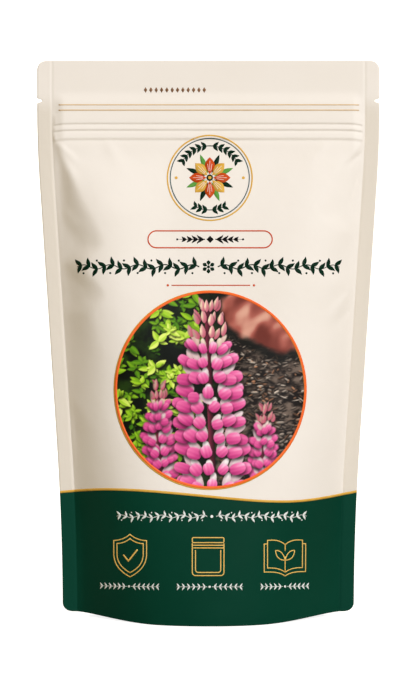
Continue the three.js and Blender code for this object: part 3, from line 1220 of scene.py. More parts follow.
def ribbon(path: Array, width: float | Array, closed: bool = False) -> Patch:
    """Band along a path: each side lies half the width off, along mitred normals.

    Args:
        path: points of the middle line; a closed one doesn't repeat its first point.
        width: width of the band, one value or one for each point.
        closed: whether the path closes.

    Returns:
        The band, two rows wide.
    """
    ahead = np.roll(path, -1, axis=0) - path
    behind = path - np.roll(path, 1, axis=0)
    if not closed:
        ahead[-1], behind[0] = behind[-1], ahead[0]
    normals = [np.stack([-d[:, 1], d[:, 0]], axis=-1) / np.hypot(*d.T)[:, None] for d in (behind, ahead)]
    mitre = normals[0] + normals[1]
    mitre /= np.maximum(0.5, (mitre * normals[1]).sum(axis=1))[:, None]
    half = np.broadcast_to(np.asarray(width, float), len(path))[:, None] / 2
    return Patch(np.stack([path - mitre * half, path + mitre * half]), closed)


def leaf(
    base: Pair | Array,
    tip: Pair | Array,
    width: float,
    sweep: float = 0.0,
    blunt: float = 0.8,
    steps: int = 8,
) -> Patch:
    """Leaf or petal: half its width is a sine of the way along, so it is widest near the middle.

    Args:
        base: where it begins.
        tip: where it ends.
        width: its full width.
        sweep: how far its middle line bows to the left, as a share of its length.
        blunt: power of the way along inside the sine; below 1 it is widest nearer the base.
        steps: steps along it.

    Returns:
        The leaf, three rows wide.
    """
    base, tip = np.asarray(base, float), np.asarray(tip, float)
    run = tip - base
    side = np.array([-run[1], run[0]])
    s = np.linspace(0.0, 1.0, steps + 1)[:, None]
    middle = base + run * s + side * sweep * 4 * s * (1 - s)
    lean = run + side * sweep * 4 * (1 - 2 * s)
    normal = np.stack([-lean[:, 1], lean[:, 0]], axis=-1)
    normal /= np.hypot(*normal.T)[:, None]
    half = np.maximum(0.02, width / 2 * np.sin(np.pi * s**blunt))
    return Patch(np.stack([middle - normal * half, middle, middle + normal * half]))


def pressed_disc(steps: int) -> tuple[Array, Array]:
    """Square grid pressed into a disc of radius 1: x times the root of 1 - y^2/2, and the reverse."""
    u, v = np.meshgrid(*[np.linspace(-1.0, 1.0, steps + 1)] * 2)
    return u * np.sqrt(1 - v**2 / 2), v * np.sqrt(1 - u**2 / 2)


def dot(centre: Pair, radius: float, steps: int = 5) -> Patch:
    """Round dot, as a square grid pressed into a disc."""
    x, y = pressed_disc(steps)
    return Patch(np.stack([centre[0] + radius * x, centre[1] + radius * y], axis=-1))


def lozenge(centre: Pair, length: float, height: float) -> Patch:
    """Lozenge that stands on its corner, as a square grid turned by an eighth."""
    u, v = np.meshgrid(*[np.linspace(-0.5, 0.5, 3)] * 2)
    return Patch(np.stack([centre[0] + (u - v) * length / 2, centre[1] + (u + v) * height / 2], axis=-1))


def sprigs(
    path: Array, count: int, length: float, width: float, spread: float, pairs: bool = False
) -> list[Patch]:
    """Leaves along a path at even steps, on alternate sides or in pairs.

    Each leaf points forward along the path, turned aside by the spread.

    Args:
        path: points of the stem.
        count: number of places for leaves.
        length: length of a leaf.
        width: width of a leaf.
        spread: angle between a leaf and the stem, in degrees.
        pairs: whether each place has a leaf on both sides.

    Returns:
        The leaves.
    """
    run = np.concatenate(([0.0], np.cumsum(np.hypot(*np.diff(path, axis=0).T))))
    places = (np.arange(count) + 0.35) / count * run[-1]
    start = np.stack([np.interp(places, run, path[:, k]) for k in (0, 1)], axis=-1)
    onward = np.stack([np.interp(places + 0.2, run, path[:, k]) for k in (0, 1)], axis=-1) - start
    heading = np.arctan2(onward[:, 1], onward[:, 0])
    leaves = []
    for k in range(count):
        for side in (1, -1) if pairs else ((1,) if k % 2 else (-1,)):
            turn = heading[k] + side * math.radians(spread)
            tip = start[k] + length * np.array([math.cos(turn), math.sin(turn)])
            leaves.append(leaf(start[k], tip, width, -0.08 * side, steps=6))
    return leaves


@dataclass
class PrintRun:
    """All the line art printed on one face, gathered ink by ink."""

    face: FilmFace
    slot: str
    top: float = 0.055
    bottom: float = -0.1
    layer: float = 0.02
    patches: dict[Ink, list[tuple[Patch, int]]] = field(default_factory=dict)

    def add(self, ink: Ink, *patches: Patch, over: int = 0) -> None:
        """Adds patches in an ink; over counts the inks that it is printed on top of."""
        self.patches.setdefault(ink, []).extend((patch, over) for patch in patches)

    def outward(self, patch: Patch) -> Array:
        """Puts a patch's rows in the order that turns its face outwards.

        Args:
            patch: the patch.

        Returns:
            Its grid of print positions.
        """
        grid = wrapped(patch.grid) if patch.ring else patch.grid
        right = np.diff(grid, axis=1)[:-1]
        up = np.diff(grid, axis=0)[:, :-1]
        turn = np.sum(right[..., 0] * up[..., 1] - right[..., 1] * up[..., 0])
        return patch.grid[::-1] if turn * self.face.side > 0 else patch.grid

    def build(self, prefix: str) -> None:
        """Builds one thin closed mesh for each ink.

        Args:
            prefix: first part of the pieces' names.
        """
        for ink, entries in self.patches.items():
            grids = [self.outward(patch) for patch, _ in entries]
            x, v = np.concatenate([grid.reshape(-1, 2) for grid in grids]).T
            layers = np.repeat([over for _, over in entries], [grid[..., 0].size for grid in grids])
            outer = self.face.printed(x, v, self.top + self.layer * layers)
            inner = self.face.printed(x, v, self.bottom)
            builder = MeshBuilder()
            start = 0
            for grid, (patch, _) in zip(grids, entries):
                end = start + grid[..., 0].size
                faces = (points[start:end].reshape(*grid.shape[:2], 3) for points in (outer, inner))
                builder.add_sheet(*faces, ring=patch.ring)
                start = end
            install(builder.build(f"{prefix}_{ink.name.lower()}"), ink.value.material(), self.slot)


# ---- Print: the motifs ----


@dataclass
class HeaderPrint:
    """Two fine lines that mark where to tear, and a short row of lozenges above them."""

    left: float = -52.4
    right: float = 52.8
    heights: Pair = (179.46, 177.58)
    line: float = 0.42
    step: float = 0.8
    row_left: float = -22.0
    row_right: float = -1.4
    row_height: float = 184.75
    row_count: int = 12
    lozenge_size: Pair = (1.2, 1.95)

    def draw(self, run: PrintRun) -> None:
        """Adds the lines and the row.

        Args:
            run: the print run.
        """
        for height in self.heights:
            path = spaced_path([(self.left, height), (self.right, height)], self.step)
            run.add(Ink.TAN, ribbon(path, self.line))
        for x in np.linspace(self.row_left, self.row_right, self.row_count):
            run.add(Ink.BROWN, lozenge((x, self.row_height), *self.lozenge_size))


@dataclass
class RoundBadge:
    """Round badge: two rings, a leafy wreath, two dots and a rosette of eight petals.

    A spray is given by its middle and its span, in degrees, and its places for leaves, and a
    spray's leaf by its length, its width and its angle to the stem.
    """

    centre: Pair = (0.52, 153.7)
    outer_radius: float = 14.98
    inner_radius: float = 13.98
    across: float = 0.985
    outer_line: float = 0.5
    inner_line: float = 0.36
    wreath_radius: float = 11.35
    sprays: tuple[tuple[float, float, int], ...] = ((90.0, 61.0, 6), (-90.0, 29.0, 3))
    spray_leaf: Triple = (2.5, 1.15, 42.0)
    stem_line: Pair = (0.34, 0.2)
    dot_offset: float = 11.9
    dot_size: float = 0.52
    petals: int = 8
    petal_start: float = 1.2
    petal_length: float = 7.3
    petal_width: float = 3.5
    leaf_start: float = 1.5
    leaf_reach: float = 1.22
    leaf_width: float = 1.7
    vein_start: float = 2.4
    vein_turn: float = 9.0
    vein_reach: Triple = (0.68, 0.82, 0.68)
    vein_line: float = 0.13
    heart: float = 1.15

    def place(self, radius: float, degrees: float) -> Array:
        """Point of the badge at a radius and an angle from the top, clockwise.

        Args:
            radius: distance from the middle.
            degrees: angle from the top.

        Returns:
            The point.
        """
        turn = math.radians(degrees)
        x = self.centre[0] + self.across * radius * math.sin(turn)
        return np.array([x, self.centre[1] + radius * math.cos(turn)])

    def wreath(self, run: PrintRun, middle: float, span: float, places: int) -> None:
        """Adds two sprays of leaves that climb from the middle of an arc to its ends.

        Args:
            run: the print run.
            middle: middle of the arc, in degrees.
            span: degrees from there to each end.
            places: places for leaves on each spray.
        """
        radii = (self.across * self.wreath_radius, self.wreath_radius)
        for way in (1, -1):
            stem = oval(self.centre, radii, middle, middle + way * span, 28)
            run.add(Ink.DARK, ribbon(stem, np.linspace(*self.stem_line, len(stem))))
            run.add(Ink.DARK, *sprigs(stem[1:], places, *self.spray_leaf, pairs=True))

    def rosette(self, run: PrintRun) -> None:
        """Adds the rosette: petals in two colours over narrow leaves, with veins and a heart.

        Args:
            run: the print run.
        """
        for k in range(self.petals):
            turn = 360.0 / self.petals * k
            between = turn + 180.0 / self.petals
            green, bright = (Ink.LEAF, Ink.GOLD) if k % 2 else (Ink.DARK, Ink.RUST)
            ends = [self.place(r, between) for r in (self.leaf_start, self.petal_length * self.leaf_reach)]
            run.add(green, leaf(*ends, self.leaf_width, blunt=1.25))
            ends = [self.place(r, turn) for r in (self.petal_start, self.petal_length)]
            run.add(bright, leaf(*ends, self.petal_width, blunt=1.15, steps=10), over=1)
            for side, reach in zip((-1, 0, 1), self.vein_reach):
                lean = turn + side * self.vein_turn
                ends = [self.place(r, lean) for r in (self.vein_start, self.petal_length * reach)]
                run.add(Ink.WHITE, ribbon(spaced_path(ends), self.vein_line), over=2)
        run.add(Ink.DARK, dot(self.centre, self.heart, 7), over=3)
        run.add(Ink.GOLD, dot(self.centre, self.heart / 2), over=4)

    def draw(self, run: PrintRun) -> None:
        """Adds the whole badge.

        Args:
            run: the print run.
        """
        for ink, radius, line in (
            (Ink.GOLD, self.outer_radius, self.outer_line),
            (Ink.SLATE, self.inner_radius, self.inner_line),
        ):
            run.add(ink, ribbon(closed_oval(self.centre, (self.across * radius, radius), 160), line, True))
        for spray in self.sprays:
            self.wreath(run, *spray)
        for side in (-1, 1):
            x = self.centre[0] + side * self.across * self.dot_offset
            run.add(Ink.GOLD, dot((x, self.centre[1]), self.dot_size))
        self.rosette(run)


@dataclass
class NamePlate:
    """Outlined plate with round ends and a small ornament in it, whose leaves shrink outwards."""

    centre: Pair = (0.64, 132.1)
    half_length: float = 21.5
    half_height: float = 2.94
    line: float = 0.44
    heart: Pair = (2.5, 2.5)
    leaf_places: tuple[float, ...] = (2.1, 4.1, 6.1, 8.1)
    leaf_length: float = 2.5
    leaf_rise: float = 1.6
    leaf_shrink: Pair = (0.25, 0.2)
    leaf_width: float = 0.85
    leaf_sweep: float = -0.12
    stem_start: float = 1.8
    stem_end: float = 11.2
    stem_line: Pair = (0.38, 0.1)
    tip_gap: float = 0.2
    tip_dot: float = 0.36

    def plate(self) -> Array:
        """Closed outline of the plate: a half circle at each end, joined by straight lines.

        Returns:
            Its points.
        """
        flat, round_end = self.half_length - self.half_height, (self.half_height,) * 2
        ends = [
            oval((self.centre[0] + side * flat, self.centre[1]), round_end, first, first + 180.0, 20)
            for side, first in ((1, -90.0), (-1, 90.0))
        ]
        top, bottom = (spaced_path([ends[k][-1], ends[1 - k][0]])[1:-1] for k in (0, 1))
        return np.concatenate([ends[0], top, ends[1], bottom])

    def draw(self, run: PrintRun) -> None:
        """Adds the outline, then a lozenge with leaves and tapering lines to both sides.

        Args:
            run: the print run.
        """
        cx, cz = self.centre
        run.add(Ink.SALMON, ribbon(self.plate(), self.line, closed=True))
        run.add(Ink.BLACK, lozenge(self.centre, *self.heart))
        for side in (-1, 1):
            for k, offset in enumerate(self.leaf_places):
                length = self.leaf_length - self.leaf_shrink[0] * k
                for rise in (1, -1):
                    high = rise * (self.leaf_rise - self.leaf_shrink[1] * k)
                    base, tip = (cx + side * offset, cz), (cx + side * (offset + length), cz + high)
                    sweep = self.leaf_sweep * side * rise
                    run.add(Ink.BLACK, leaf(base, tip, self.leaf_width, sweep, steps=6))
            stem = spaced_path([(cx + side * self.stem_start, cz), (cx + side * self.stem_end, cz)])
            run.add(Ink.BLACK, ribbon(stem, np.linspace(*self.stem_line, len(stem))))
            run.add(Ink.BLACK, dot((cx + side * (self.stem_end + self.tip_gap), cz), self.tip_dot))


@dataclass(frozen=True)
class Garland:
    """Garland of leaves on a waving stem, mirrored about its middle."""

    ink: Ink
    centre: Pair
    half_length: float
    leaf_length: float
    leaf_width: float
    leaves: int
    swing: float = 0.0
    waves: float = 4.5
    stem: float = 0.3
    taper: float = 0.6
    start: float = 0.8
    spread: float = 44.0
    berry: float = 0.0
    berry_offset: float = 0.55
    heart: float = 0.4

    def half(self, run: PrintRun, side: int) -> None:
        """Adds the half on one side: the stem swings as a sine, with a berry opposite each crest.

        Args:
            run: the print run.
            side: -1 for the left half, 1 for the right half.
        """
        cx, cz = self.centre
        length = self.half_length - self.start
        share = np.linspace(0.0, 1.0, 8 * self.leaves)
        wave = self.swing * np.sin(2 * np.pi * self.waves * share)
        stem = np.stack([cx + side * (self.start + length * share), cz + wave], axis=-1)
        run.add(self.ink, ribbon(stem, np.linspace(1.0, self.taper, len(stem)) * self.stem))
        leaves = sprigs(stem, self.leaves, self.leaf_length, self.leaf_width, self.spread, pairs=True)
        run.add(self.ink, *leaves)
        if self.berry:
            for k in range(int(2 * self.waves)):
                x = cx + side * (self.start + length * (k + 0.5) / (2 * self.waves))
                rise = (self.leaf_length * self.berry_offset + self.berry) * (1 if k % 2 else -1)
                run.add(self.ink, dot((x, cz + rise), self.berry))

    def draw(self, run: PrintRun) -> None:
        """Adds both halves and the dot between them.

        Args:
            run: the print run.
        """
        run.add(self.ink, dot(self.centre, self.heart, 7))
        for side in (-1, 1):
            self.half(run, side)


@dataclass
class TitleGarland:
    """The broadest garland, with a small flower of six petals in its middle."""

    garland: Garland = Garland(
        Ink.DARK, (0.08, 122.55), 45.7, 3.3, 1.42, 15,
        swing=0.75, stem=0.42, start=3.2, spread=50.0, berry=0.36, heart=0.5,
    )
    petals: int = 6
    petal_reach: Pair = (0.5, 2.3)
    petal_width: float = 1.35

    def draw(self, run: PrintRun) -> None:
        """Adds the flower and the garland.

        Args:
            run: the print run.
        """
        for k in range(self.petals):
            turn = 2 * math.pi / self.petals * (k + 0.5)
            way = np.array([math.cos(turn), math.sin(turn)])
            base, tip = (np.array(self.garland.centre) + reach * way for reach in self.petal_reach)
            run.add(Ink.DARK, leaf(base, tip, self.petal_width, blunt=1.3))
        self.garland.draw(run)


@dataclass
class Divider:
    """Thin line between two dots."""

    left: float = -12.7
    right: float = 14.5
    height: float = 116.15
    line: float = 0.34
    gap: float = 1.28
    dot_size: float = 0.42

    def draw(self, run: PrintRun) -> None:
        """Adds the line and its dots.

        Args:
            run: the print run.
        """
        path = spaced_path([(self.left, self.height), (self.right, self.height)])
        run.add(Ink.RUST, ribbon(path, self.line))
        for x in (self.left - self.gap, self.right + self.gap):
            run.add(Ink.RUST, dot((x, self.height), self.dot_size))


@dataclass
class PictureRing:
    """Orange ring round the picture, with a thin gold edge outside it on the left and below."""

    radii: Pair = (32.7, 33.5)
    line: float = 0.86
    gold_shift: Pair = (-0.22, -0.16)
    gold_spread: Pair = (0.16, 0.256)

    def draw(self, run: PrintRun) -> None:
        """Adds both rings; the gold one is a little larger and lies off to one side.

        Args:
            run: the print run.
        """
        ring = closed_oval(PICTURE_CENTRE, self.radii, 260)
        run.add(Ink.ORANGE, ribbon(ring, self.line, closed=True), over=2)
        aside = (PICTURE_CENTRE[0] + self.gold_shift[0], PICTURE_CENTRE[1] + self.gold_shift[1])
        wide = (self.radii[0] + self.gold_spread[0], self.radii[1] + self.gold_spread[1])
        run.add(Ink.GOLD, ribbon(closed_oval(aside, wide, 260), self.line, closed=True), over=1)


@dataclass
class Shield:
    """Shield with a double outline and a tick; its side is level with turn where it bends inwards."""

    centre: Pair = (-26.92, 23.9)
    half: float = 5.78
    shoulder: float = 5.05
    top: float = 7.2
    tip: float = -7.25
    turn: float = 0.3
    scales: Pair = (1.0, 0.8)
    line: float = 0.33
    tick: tuple[Pair, ...] = ((-2.35, 0.25), (-0.6, -1.85), (2.65, 2.05))
    tick_share: float = 1.5

    def draw(self, run: PrintRun) -> None:
        """Adds both outlines, each mirrored from its right side, and the tick.

        Args:
            run: the print run.
        """
        for scale in self.scales:
            w, s, t, b = (size * scale for size in (self.half, self.shoulder, self.top, self.tip))
            side = np.concatenate([
                bend([(0.0, t), (0.4 * w, s + 0.1), (w, s)], 8)[:-1],
                spaced_path([(w, s), (w, self.turn)])[:-1],
                bend([(w, self.turn), (w * 0.98, b * 0.52), (w * 0.45, b * 0.82), (0.0, b)])[:-1],
            ])
            left = np.concatenate([side[1:], [[0.0, b]]])[::-1] * (-1.0, 1.0)
            run.add(Ink.STRAW, ribbon(np.concatenate([side, left]) + self.centre, self.line, closed=True))
        tick = self.centre + spaced_path(self.tick, 0.7)
        run.add(Ink.STRAW, ribbon(tick, self.line * self.tick_share))


@dataclass
class Jar:
    """Jar with a lid, two lines at its neck and an inner outline.

    The lid and each cup are given by a half width, a bottom, a top and a corner radius.
    """

    centre: Pair = (-0.07, 23.62)
    lid: tuple[float, ...] = (5.4, 4.72, 6.4, 0.4)
    cups: tuple[tuple[float, ...], ...] = ((5.4, -6.4, 4.5, 1.1), (4.3, -5.35, 2.2, 0.9))
    neck_half: float = 5.3
    neck_heights: Pair = (3.82, 2.92)
    line: float = 0.33

    def box(self, half: float, bottom: float, top: float, corner: float) -> Array:
        """Closed outline of a box with rounded corners, anticlockwise.

        Args:
            half: half its width.
            bottom: its bottom.
            top: its top.
            corner: radius of its corners.

        Returns:
            Its points.
        """
        x, z = half - corner, (bottom + corner, top - corner)
        middles = ((x, z[0], -90.0), (x, z[1], 0.0), (-x, z[1], 90.0), (-x, z[0], 180.0))
        arcs = [oval((cx, cz), (corner, corner), start, start + 90.0, 4) for cx, cz, start in middles]
        parts = []
        for arc, onward in zip(arcs, arcs[1:] + arcs[:1]):
            parts += [arc, spaced_path([arc[-1], onward[0]])[1:-1]]
        return np.concatenate(parts)

    def cup(self, half: float, bottom: float, top: float, corner: float) -> Array:
        """Open outline of a cup: down the left side, round the two bottom corners, up the right side.

        Args:
            half: half its width.
            bottom: its bottom.
            top: its top.
            corner: radius of its corners.

        Returns:
            Its points.
        """
        low = bottom + corner
        left = oval((corner - half, low), (corner, corner), 180.0, 270.0, 5)
        right = oval((half - corner, low), (corner, corner), 270.0, 360.0, 5)
        down, up = spaced_path([(-half, top), (-half, low)]), spaced_path([(half, low), (half, top)])
        return np.concatenate([down[:-1], left, spaced_path([left[-1], right[0]])[1:-1], right, up[1:]])

    def draw(self, run: PrintRun) -> None:
        """Adds the jar.

        Args:
            run: the print run.
        """
        run.add(Ink.STRAW, ribbon(self.centre + self.box(*self.lid), self.line, closed=True))
        neck = [spaced_path([(-self.neck_half, z), (self.neck_half, z)]) for z in self.neck_heights]
        for path in (*neck, *(self.cup(*sizes) for sizes in self.cups)):
            run.add(Ink.STRAW, ribbon(self.centre + path, self.line))


@dataclass
class Book:
    """Open book with a seedling over its spine, by the curves of its right half."""

    centre: Pair = (26.4, 23.3)
    line: float = 0.297
    page_top: tuple[Pair, ...] = ((0.0, 4.25), (1.9, 5.95), (4.1, 5.95), (6.15, 5.75))
    page_foot: tuple[Pair, ...] = ((6.15, -3.6), (4.0, -3.45), (1.6, -3.8), (0.0, -5.1))
    cover_side: tuple[Pair, ...] = ((6.15, 4.55), (7.3, 4.55), (7.3, -4.95))
    cover_foot: tuple[Pair, ...] = ((7.3, -4.95), (4.4, -4.85), (1.7, -5.0), (0.0, -6.35))
    petal: tuple[tuple[Pair, ...], ...] = (
        ((0.0, -1.0), (3.2, -0.9), (3.35, 2.35)),
        ((3.35, 2.35), (0.9, 2.5), (0.0, -1.0)),
    )
    spine: tuple[Pair, ...] = ((4.25, 2.2), (0.3, -5.1))

    def draw(self, run: PrintRun) -> None:
        """Adds both halves and the spine.

        Args:
            run: the print run.
        """
        side = spaced_path([self.page_top[-1], self.page_foot[0]])[:-1]
        page = np.concatenate([bend(self.page_top, 8)[:-1], side, bend(self.page_foot, 8)])
        cover = np.concatenate([spaced_path(self.cover_side)[:-1], bend(self.cover_foot, 8)])
        halves = (page, cover, *(bend(curve, 8) for curve in self.petal))
        paths = [path * (way, 1.0) for way in (-1, 1) for path in halves]
        paths += [spaced_path([(0.0, top), (0.0, bottom)]) for top, bottom in self.spine]
        for path in paths:
            run.add(Ink.STRAW, ribbon(self.centre + path, self.line))


@dataclass
class FootPrint:
    """Print on the green foot: the wave line, a white garland, three pictograms and what is under them."""

    wave: WaveLine
    cut_gap: float = 0.05
    slogan: Garland = Garland(
        Ink.WHITE, (1.2, 37.15), 32.8, 1.95, 0.72, 14,
        swing=0.45, stem=0.24, start=1.5, spread=52.0, berry=0.22, heart=0.5,
    )
    caption_height: float = 13.42
    captions: tuple[Pair, ...] = ((-37.8, -16.8), (-10.9, 11.8), (17.8, 35.0))
    caption_leaf: Pair = (1.5, 0.52)
    caption_pitch: float = 1.9
    caption_stem: float = 0.18
    caption_spread: float = 52.0

    def wave_line(self, run: PrintRun) -> None:
        """Adds the gold line along the wave, out to the cut edges.

        Args:
            run: the print run.
        """
        reach = float(run.face.shape.edge(self.wave.height(np.array(0.0)))) - self.cut_gap
        x = np.linspace(-reach, reach, 260)
        run.add(Ink.GOLD, ribbon(np.stack([x, self.wave.height(x)], axis=-1), self.wave.width))

    def caption_rows(self, run: PrintRun) -> None:
        """Adds a small garland under each pictogram.

        Args:
            run: the print run.
        """
        for left, right in self.captions:
            centre, half = ((left + right) / 2, self.caption_height), (right - left) / 2
            count = round(half / self.caption_pitch)
            Garland(
                Ink.WHITE, centre, half, *self.caption_leaf, count,
                stem=self.caption_stem, spread=self.caption_spread,
            ).draw(run)

    def draw(self, run: PrintRun) -> None:
        """Adds everything on the foot.

        Args:
            run: the print run.
        """
        self.wave_line(run)
        for motif in (self.slogan, Shield(), Jar(), Book()):
            motif.draw(run)
        self.caption_rows(run)


# ---- Garden picture ----


@dataclass
class Canvas:
    """Points of a picture, in millimetres from its middle, and their colours on a 0 to 255 display."""

    x: Array
    y: Array
    color: Array = field(init=False)

    def __post_init__(self) -> None:
        """Starts with a black canvas."""
        self.color = np.zeros((len(self.x), 3))

    def lay(self, where: Array | slice, mask: Array, color: Array) -> None:
        """Blends colour over the points in where, by a mask from 0 to 1."""
        under = self.color[where]
        self.color[where] = under + (np.asarray(color, float) - under) * mask[:, None]

    def shade(self, where: Array, mask: Array, strength: float) -> None:
        """Darkens the points listed in where, by a mask times a strength."""
        self.color[where] *= 1 - strength * mask[:, None]


@dataclass(frozen=True)
class Blade:
    """Place of a leaf, petal or flake: its base, its heading in degrees, its length and its width."""

    x: float
    y: float
    heading: float
    length: float
    width: float

    def lie(self, canvas: Canvas, margin: float = 0.6) -> tuple[Array, Array, Array]:
        """Finds the points near the blade.

        Args:
            canvas: the canvas that it lies on.
            margin: how far past the blade points are taken.

        Returns:
            Indices of the points, their way along the blade (0 at its base, 1 at its tip) and their
            way across it in half widths, positive on its left.
        """
        turn = math.radians(self.heading)
        along = (math.cos(turn), math.sin(turn))
        middle = (self.x + along[0] * self.length / 2, self.y + along[1] * self.length / 2)
        reach = math.hypot(self.length, self.width) / 2 + margin
        box = (np.abs(canvas.x - middle[0]) < reach) & (np.abs(canvas.y - middle[1]) < reach)
        where = np.flatnonzero(box)
        dx, dy = canvas.x[where] - self.x, canvas.y[where] - self.y
        s = (dx * along[0] + dy * along[1]) / self.length
        w = (dy * along[0] - dx * along[1]) / (self.width / 2)
        return where, s, w


def ramp(tones: Tones, share: Array) -> Array:
    """Colours along a run of evenly spaced tones, by a share from 0 to 1: straight lines between them."""
    stops = np.linspace(0.0, 1.0, len(tones))
    return np.stack([np.interp(share, stops, channel) for channel in np.array(tones, float).T], axis=-1)


def pointed_mask(blade: Blade, s: Array, w: Array, blunt: float, soft: float) -> Array:
    """Mask of a pointed blade: its half width is a sine of the way along raised to a power.

    Args:
        blade: the blade.
        s: way along the blade, 0 at its base and 1 at its tip.
        w: way across the blade, in half widths.
        blunt: power of the way along; below 1 it is widest nearer the base.
        soft: half width of its soft edge.

    Returns:
        The mask, from 0 to 1.
    """
    inside = np.sin(np.pi * np.clip(s, 0.0, 1.0) ** blunt) ** 0.85 - np.abs(w)
    ends = smoothstep(s, -0.02, 0.02) * (1 - smoothstep(s, 0.98, 1.02))
    return smoothstep(inside * blade.width / 2, -soft, soft) * ends


def round_mask(blade: Blade, s: Array, w: Array, power: float, soft: float) -> Array:
    """Mask of a rounded blade: the area inside |2s - 1|^p + |w|^p = 1."""
    edge = (np.abs(2 * s - 1) ** power + np.abs(w) ** power) ** (1 / power)
    return smoothstep((1 - edge) * min(blade.width, blade.length) / 2, -soft, soft)


@dataclass
class Foliage:
    """Leafy ground of the picture: rosettes of pointed leaves over dark depths."""

    seed: int = 5
    reach: float = 34.0
    right: float = -4.0
    rosettes: int = 120
    leaves: int = 6
    length: Pair = (2.0, 5.6)
    slimness: float = 0.38
    blunt: float = 0.8
    shadow: Triple = (0.3, -0.5, 1.15)
    shadow_soft: float = 0.5
    shadow_depth: float = 0.55
    rib_half: float = 0.13
    rib_glow: float = 0.1
    depth_cell: float = 5.0
    depth_edge: Pair = (-0.2, 0.5)
    sun_cell: float = 9.0
    sun_edge: Pair = (-0.25, 0.4)
    sunlit: Pair = (-27.0, -8.0)
    sunlit_radius: float = 11.0
    turn_spread: float = 22.0
    unevenness: Pair = (0.6, 1.15)
    dark: Color = (9, 16, 8)
    moss: Color = (34, 58, 16)
    tones: Tones = ((44, 100, 16), (158, 208, 36), (234, 252, 120))

    def leaf(self, canvas: Canvas, blade: Blade, light: float, soft: float) -> None:
        """Paints one leaf: one half brighter than the other, a pale rib and a shaded base.

        Args:
            canvas: the canvas.
            blade: where it lies.
            light: its brightness, 1 in full light.
            soft: half width of its soft edge.
        """
        aside, up, wider = self.shadow
        below = Blade(blade.x + aside, blade.y + up, blade.heading, blade.length, blade.width * wider)
        where, s, w = below.lie(canvas)
        mask = pointed_mask(below, s, w, self.blunt, self.shadow_soft)
        canvas.shade(where, mask, self.shadow_depth)
        where, s, w = blade.lie(canvas)
        half = 0.5 + 0.5 * np.tanh(w * 4)
        rib = self.rib_glow * np.exp(-((w / self.rib_half) ** 2))
        tone = light * (0.62 + 0.3 * half + 0.22 * s) + rib
        canvas.lay(where, pointed_mask(blade, s, w, self.blunt, soft), ramp(self.tones, tone))

    def paint(self, canvas: Canvas) -> None:
        """Paints the depths, then the rosettes from the dimmest to the brightest.

        Args:
            canvas: the canvas.
        """
        draw = np.random.default_rng(self.seed)
        noise = layered_noise(canvas.x, canvas.y, self.depth_cell, self.seed + 1, 4)
        canvas.color[:] = ramp((self.dark, self.moss), smoothstep(noise, *self.depth_edge))
        for k in range(self.rosettes):
            layer = (k + 1) / self.rosettes
            x, y = draw.uniform(-self.reach, self.right), draw.uniform(-self.reach, self.reach)
            patches = layered_noise(x, y, self.sun_cell, self.seed + 9, 2)
            sun = float(smoothstep(patches, *self.sun_edge))
            sun += math.exp(-((math.dist((x, y), self.sunlit) / self.sunlit_radius) ** 2))
            bright = 0.08 + 0.42 * layer + 0.7 * layer * min(1.0, sun)
            turn = draw.uniform(0.0, 360.0)
            for j in range(self.leaves):
                size = draw.uniform(*self.length) * (0.75 + 0.35 * layer)
                heading = turn + 360.0 / self.leaves * j + draw.normal(0.0, self.turn_spread)
                flat = 0.5 + 0.5 * abs(math.cos(math.radians(heading + 20.0)))
                blade = Blade(x, y, heading, size * flat, size * self.slimness)
                light = min(1.0, bright * draw.uniform(*self.unevenness))
                self.leaf(canvas, blade, light, 0.32 - 0.2 * layer)


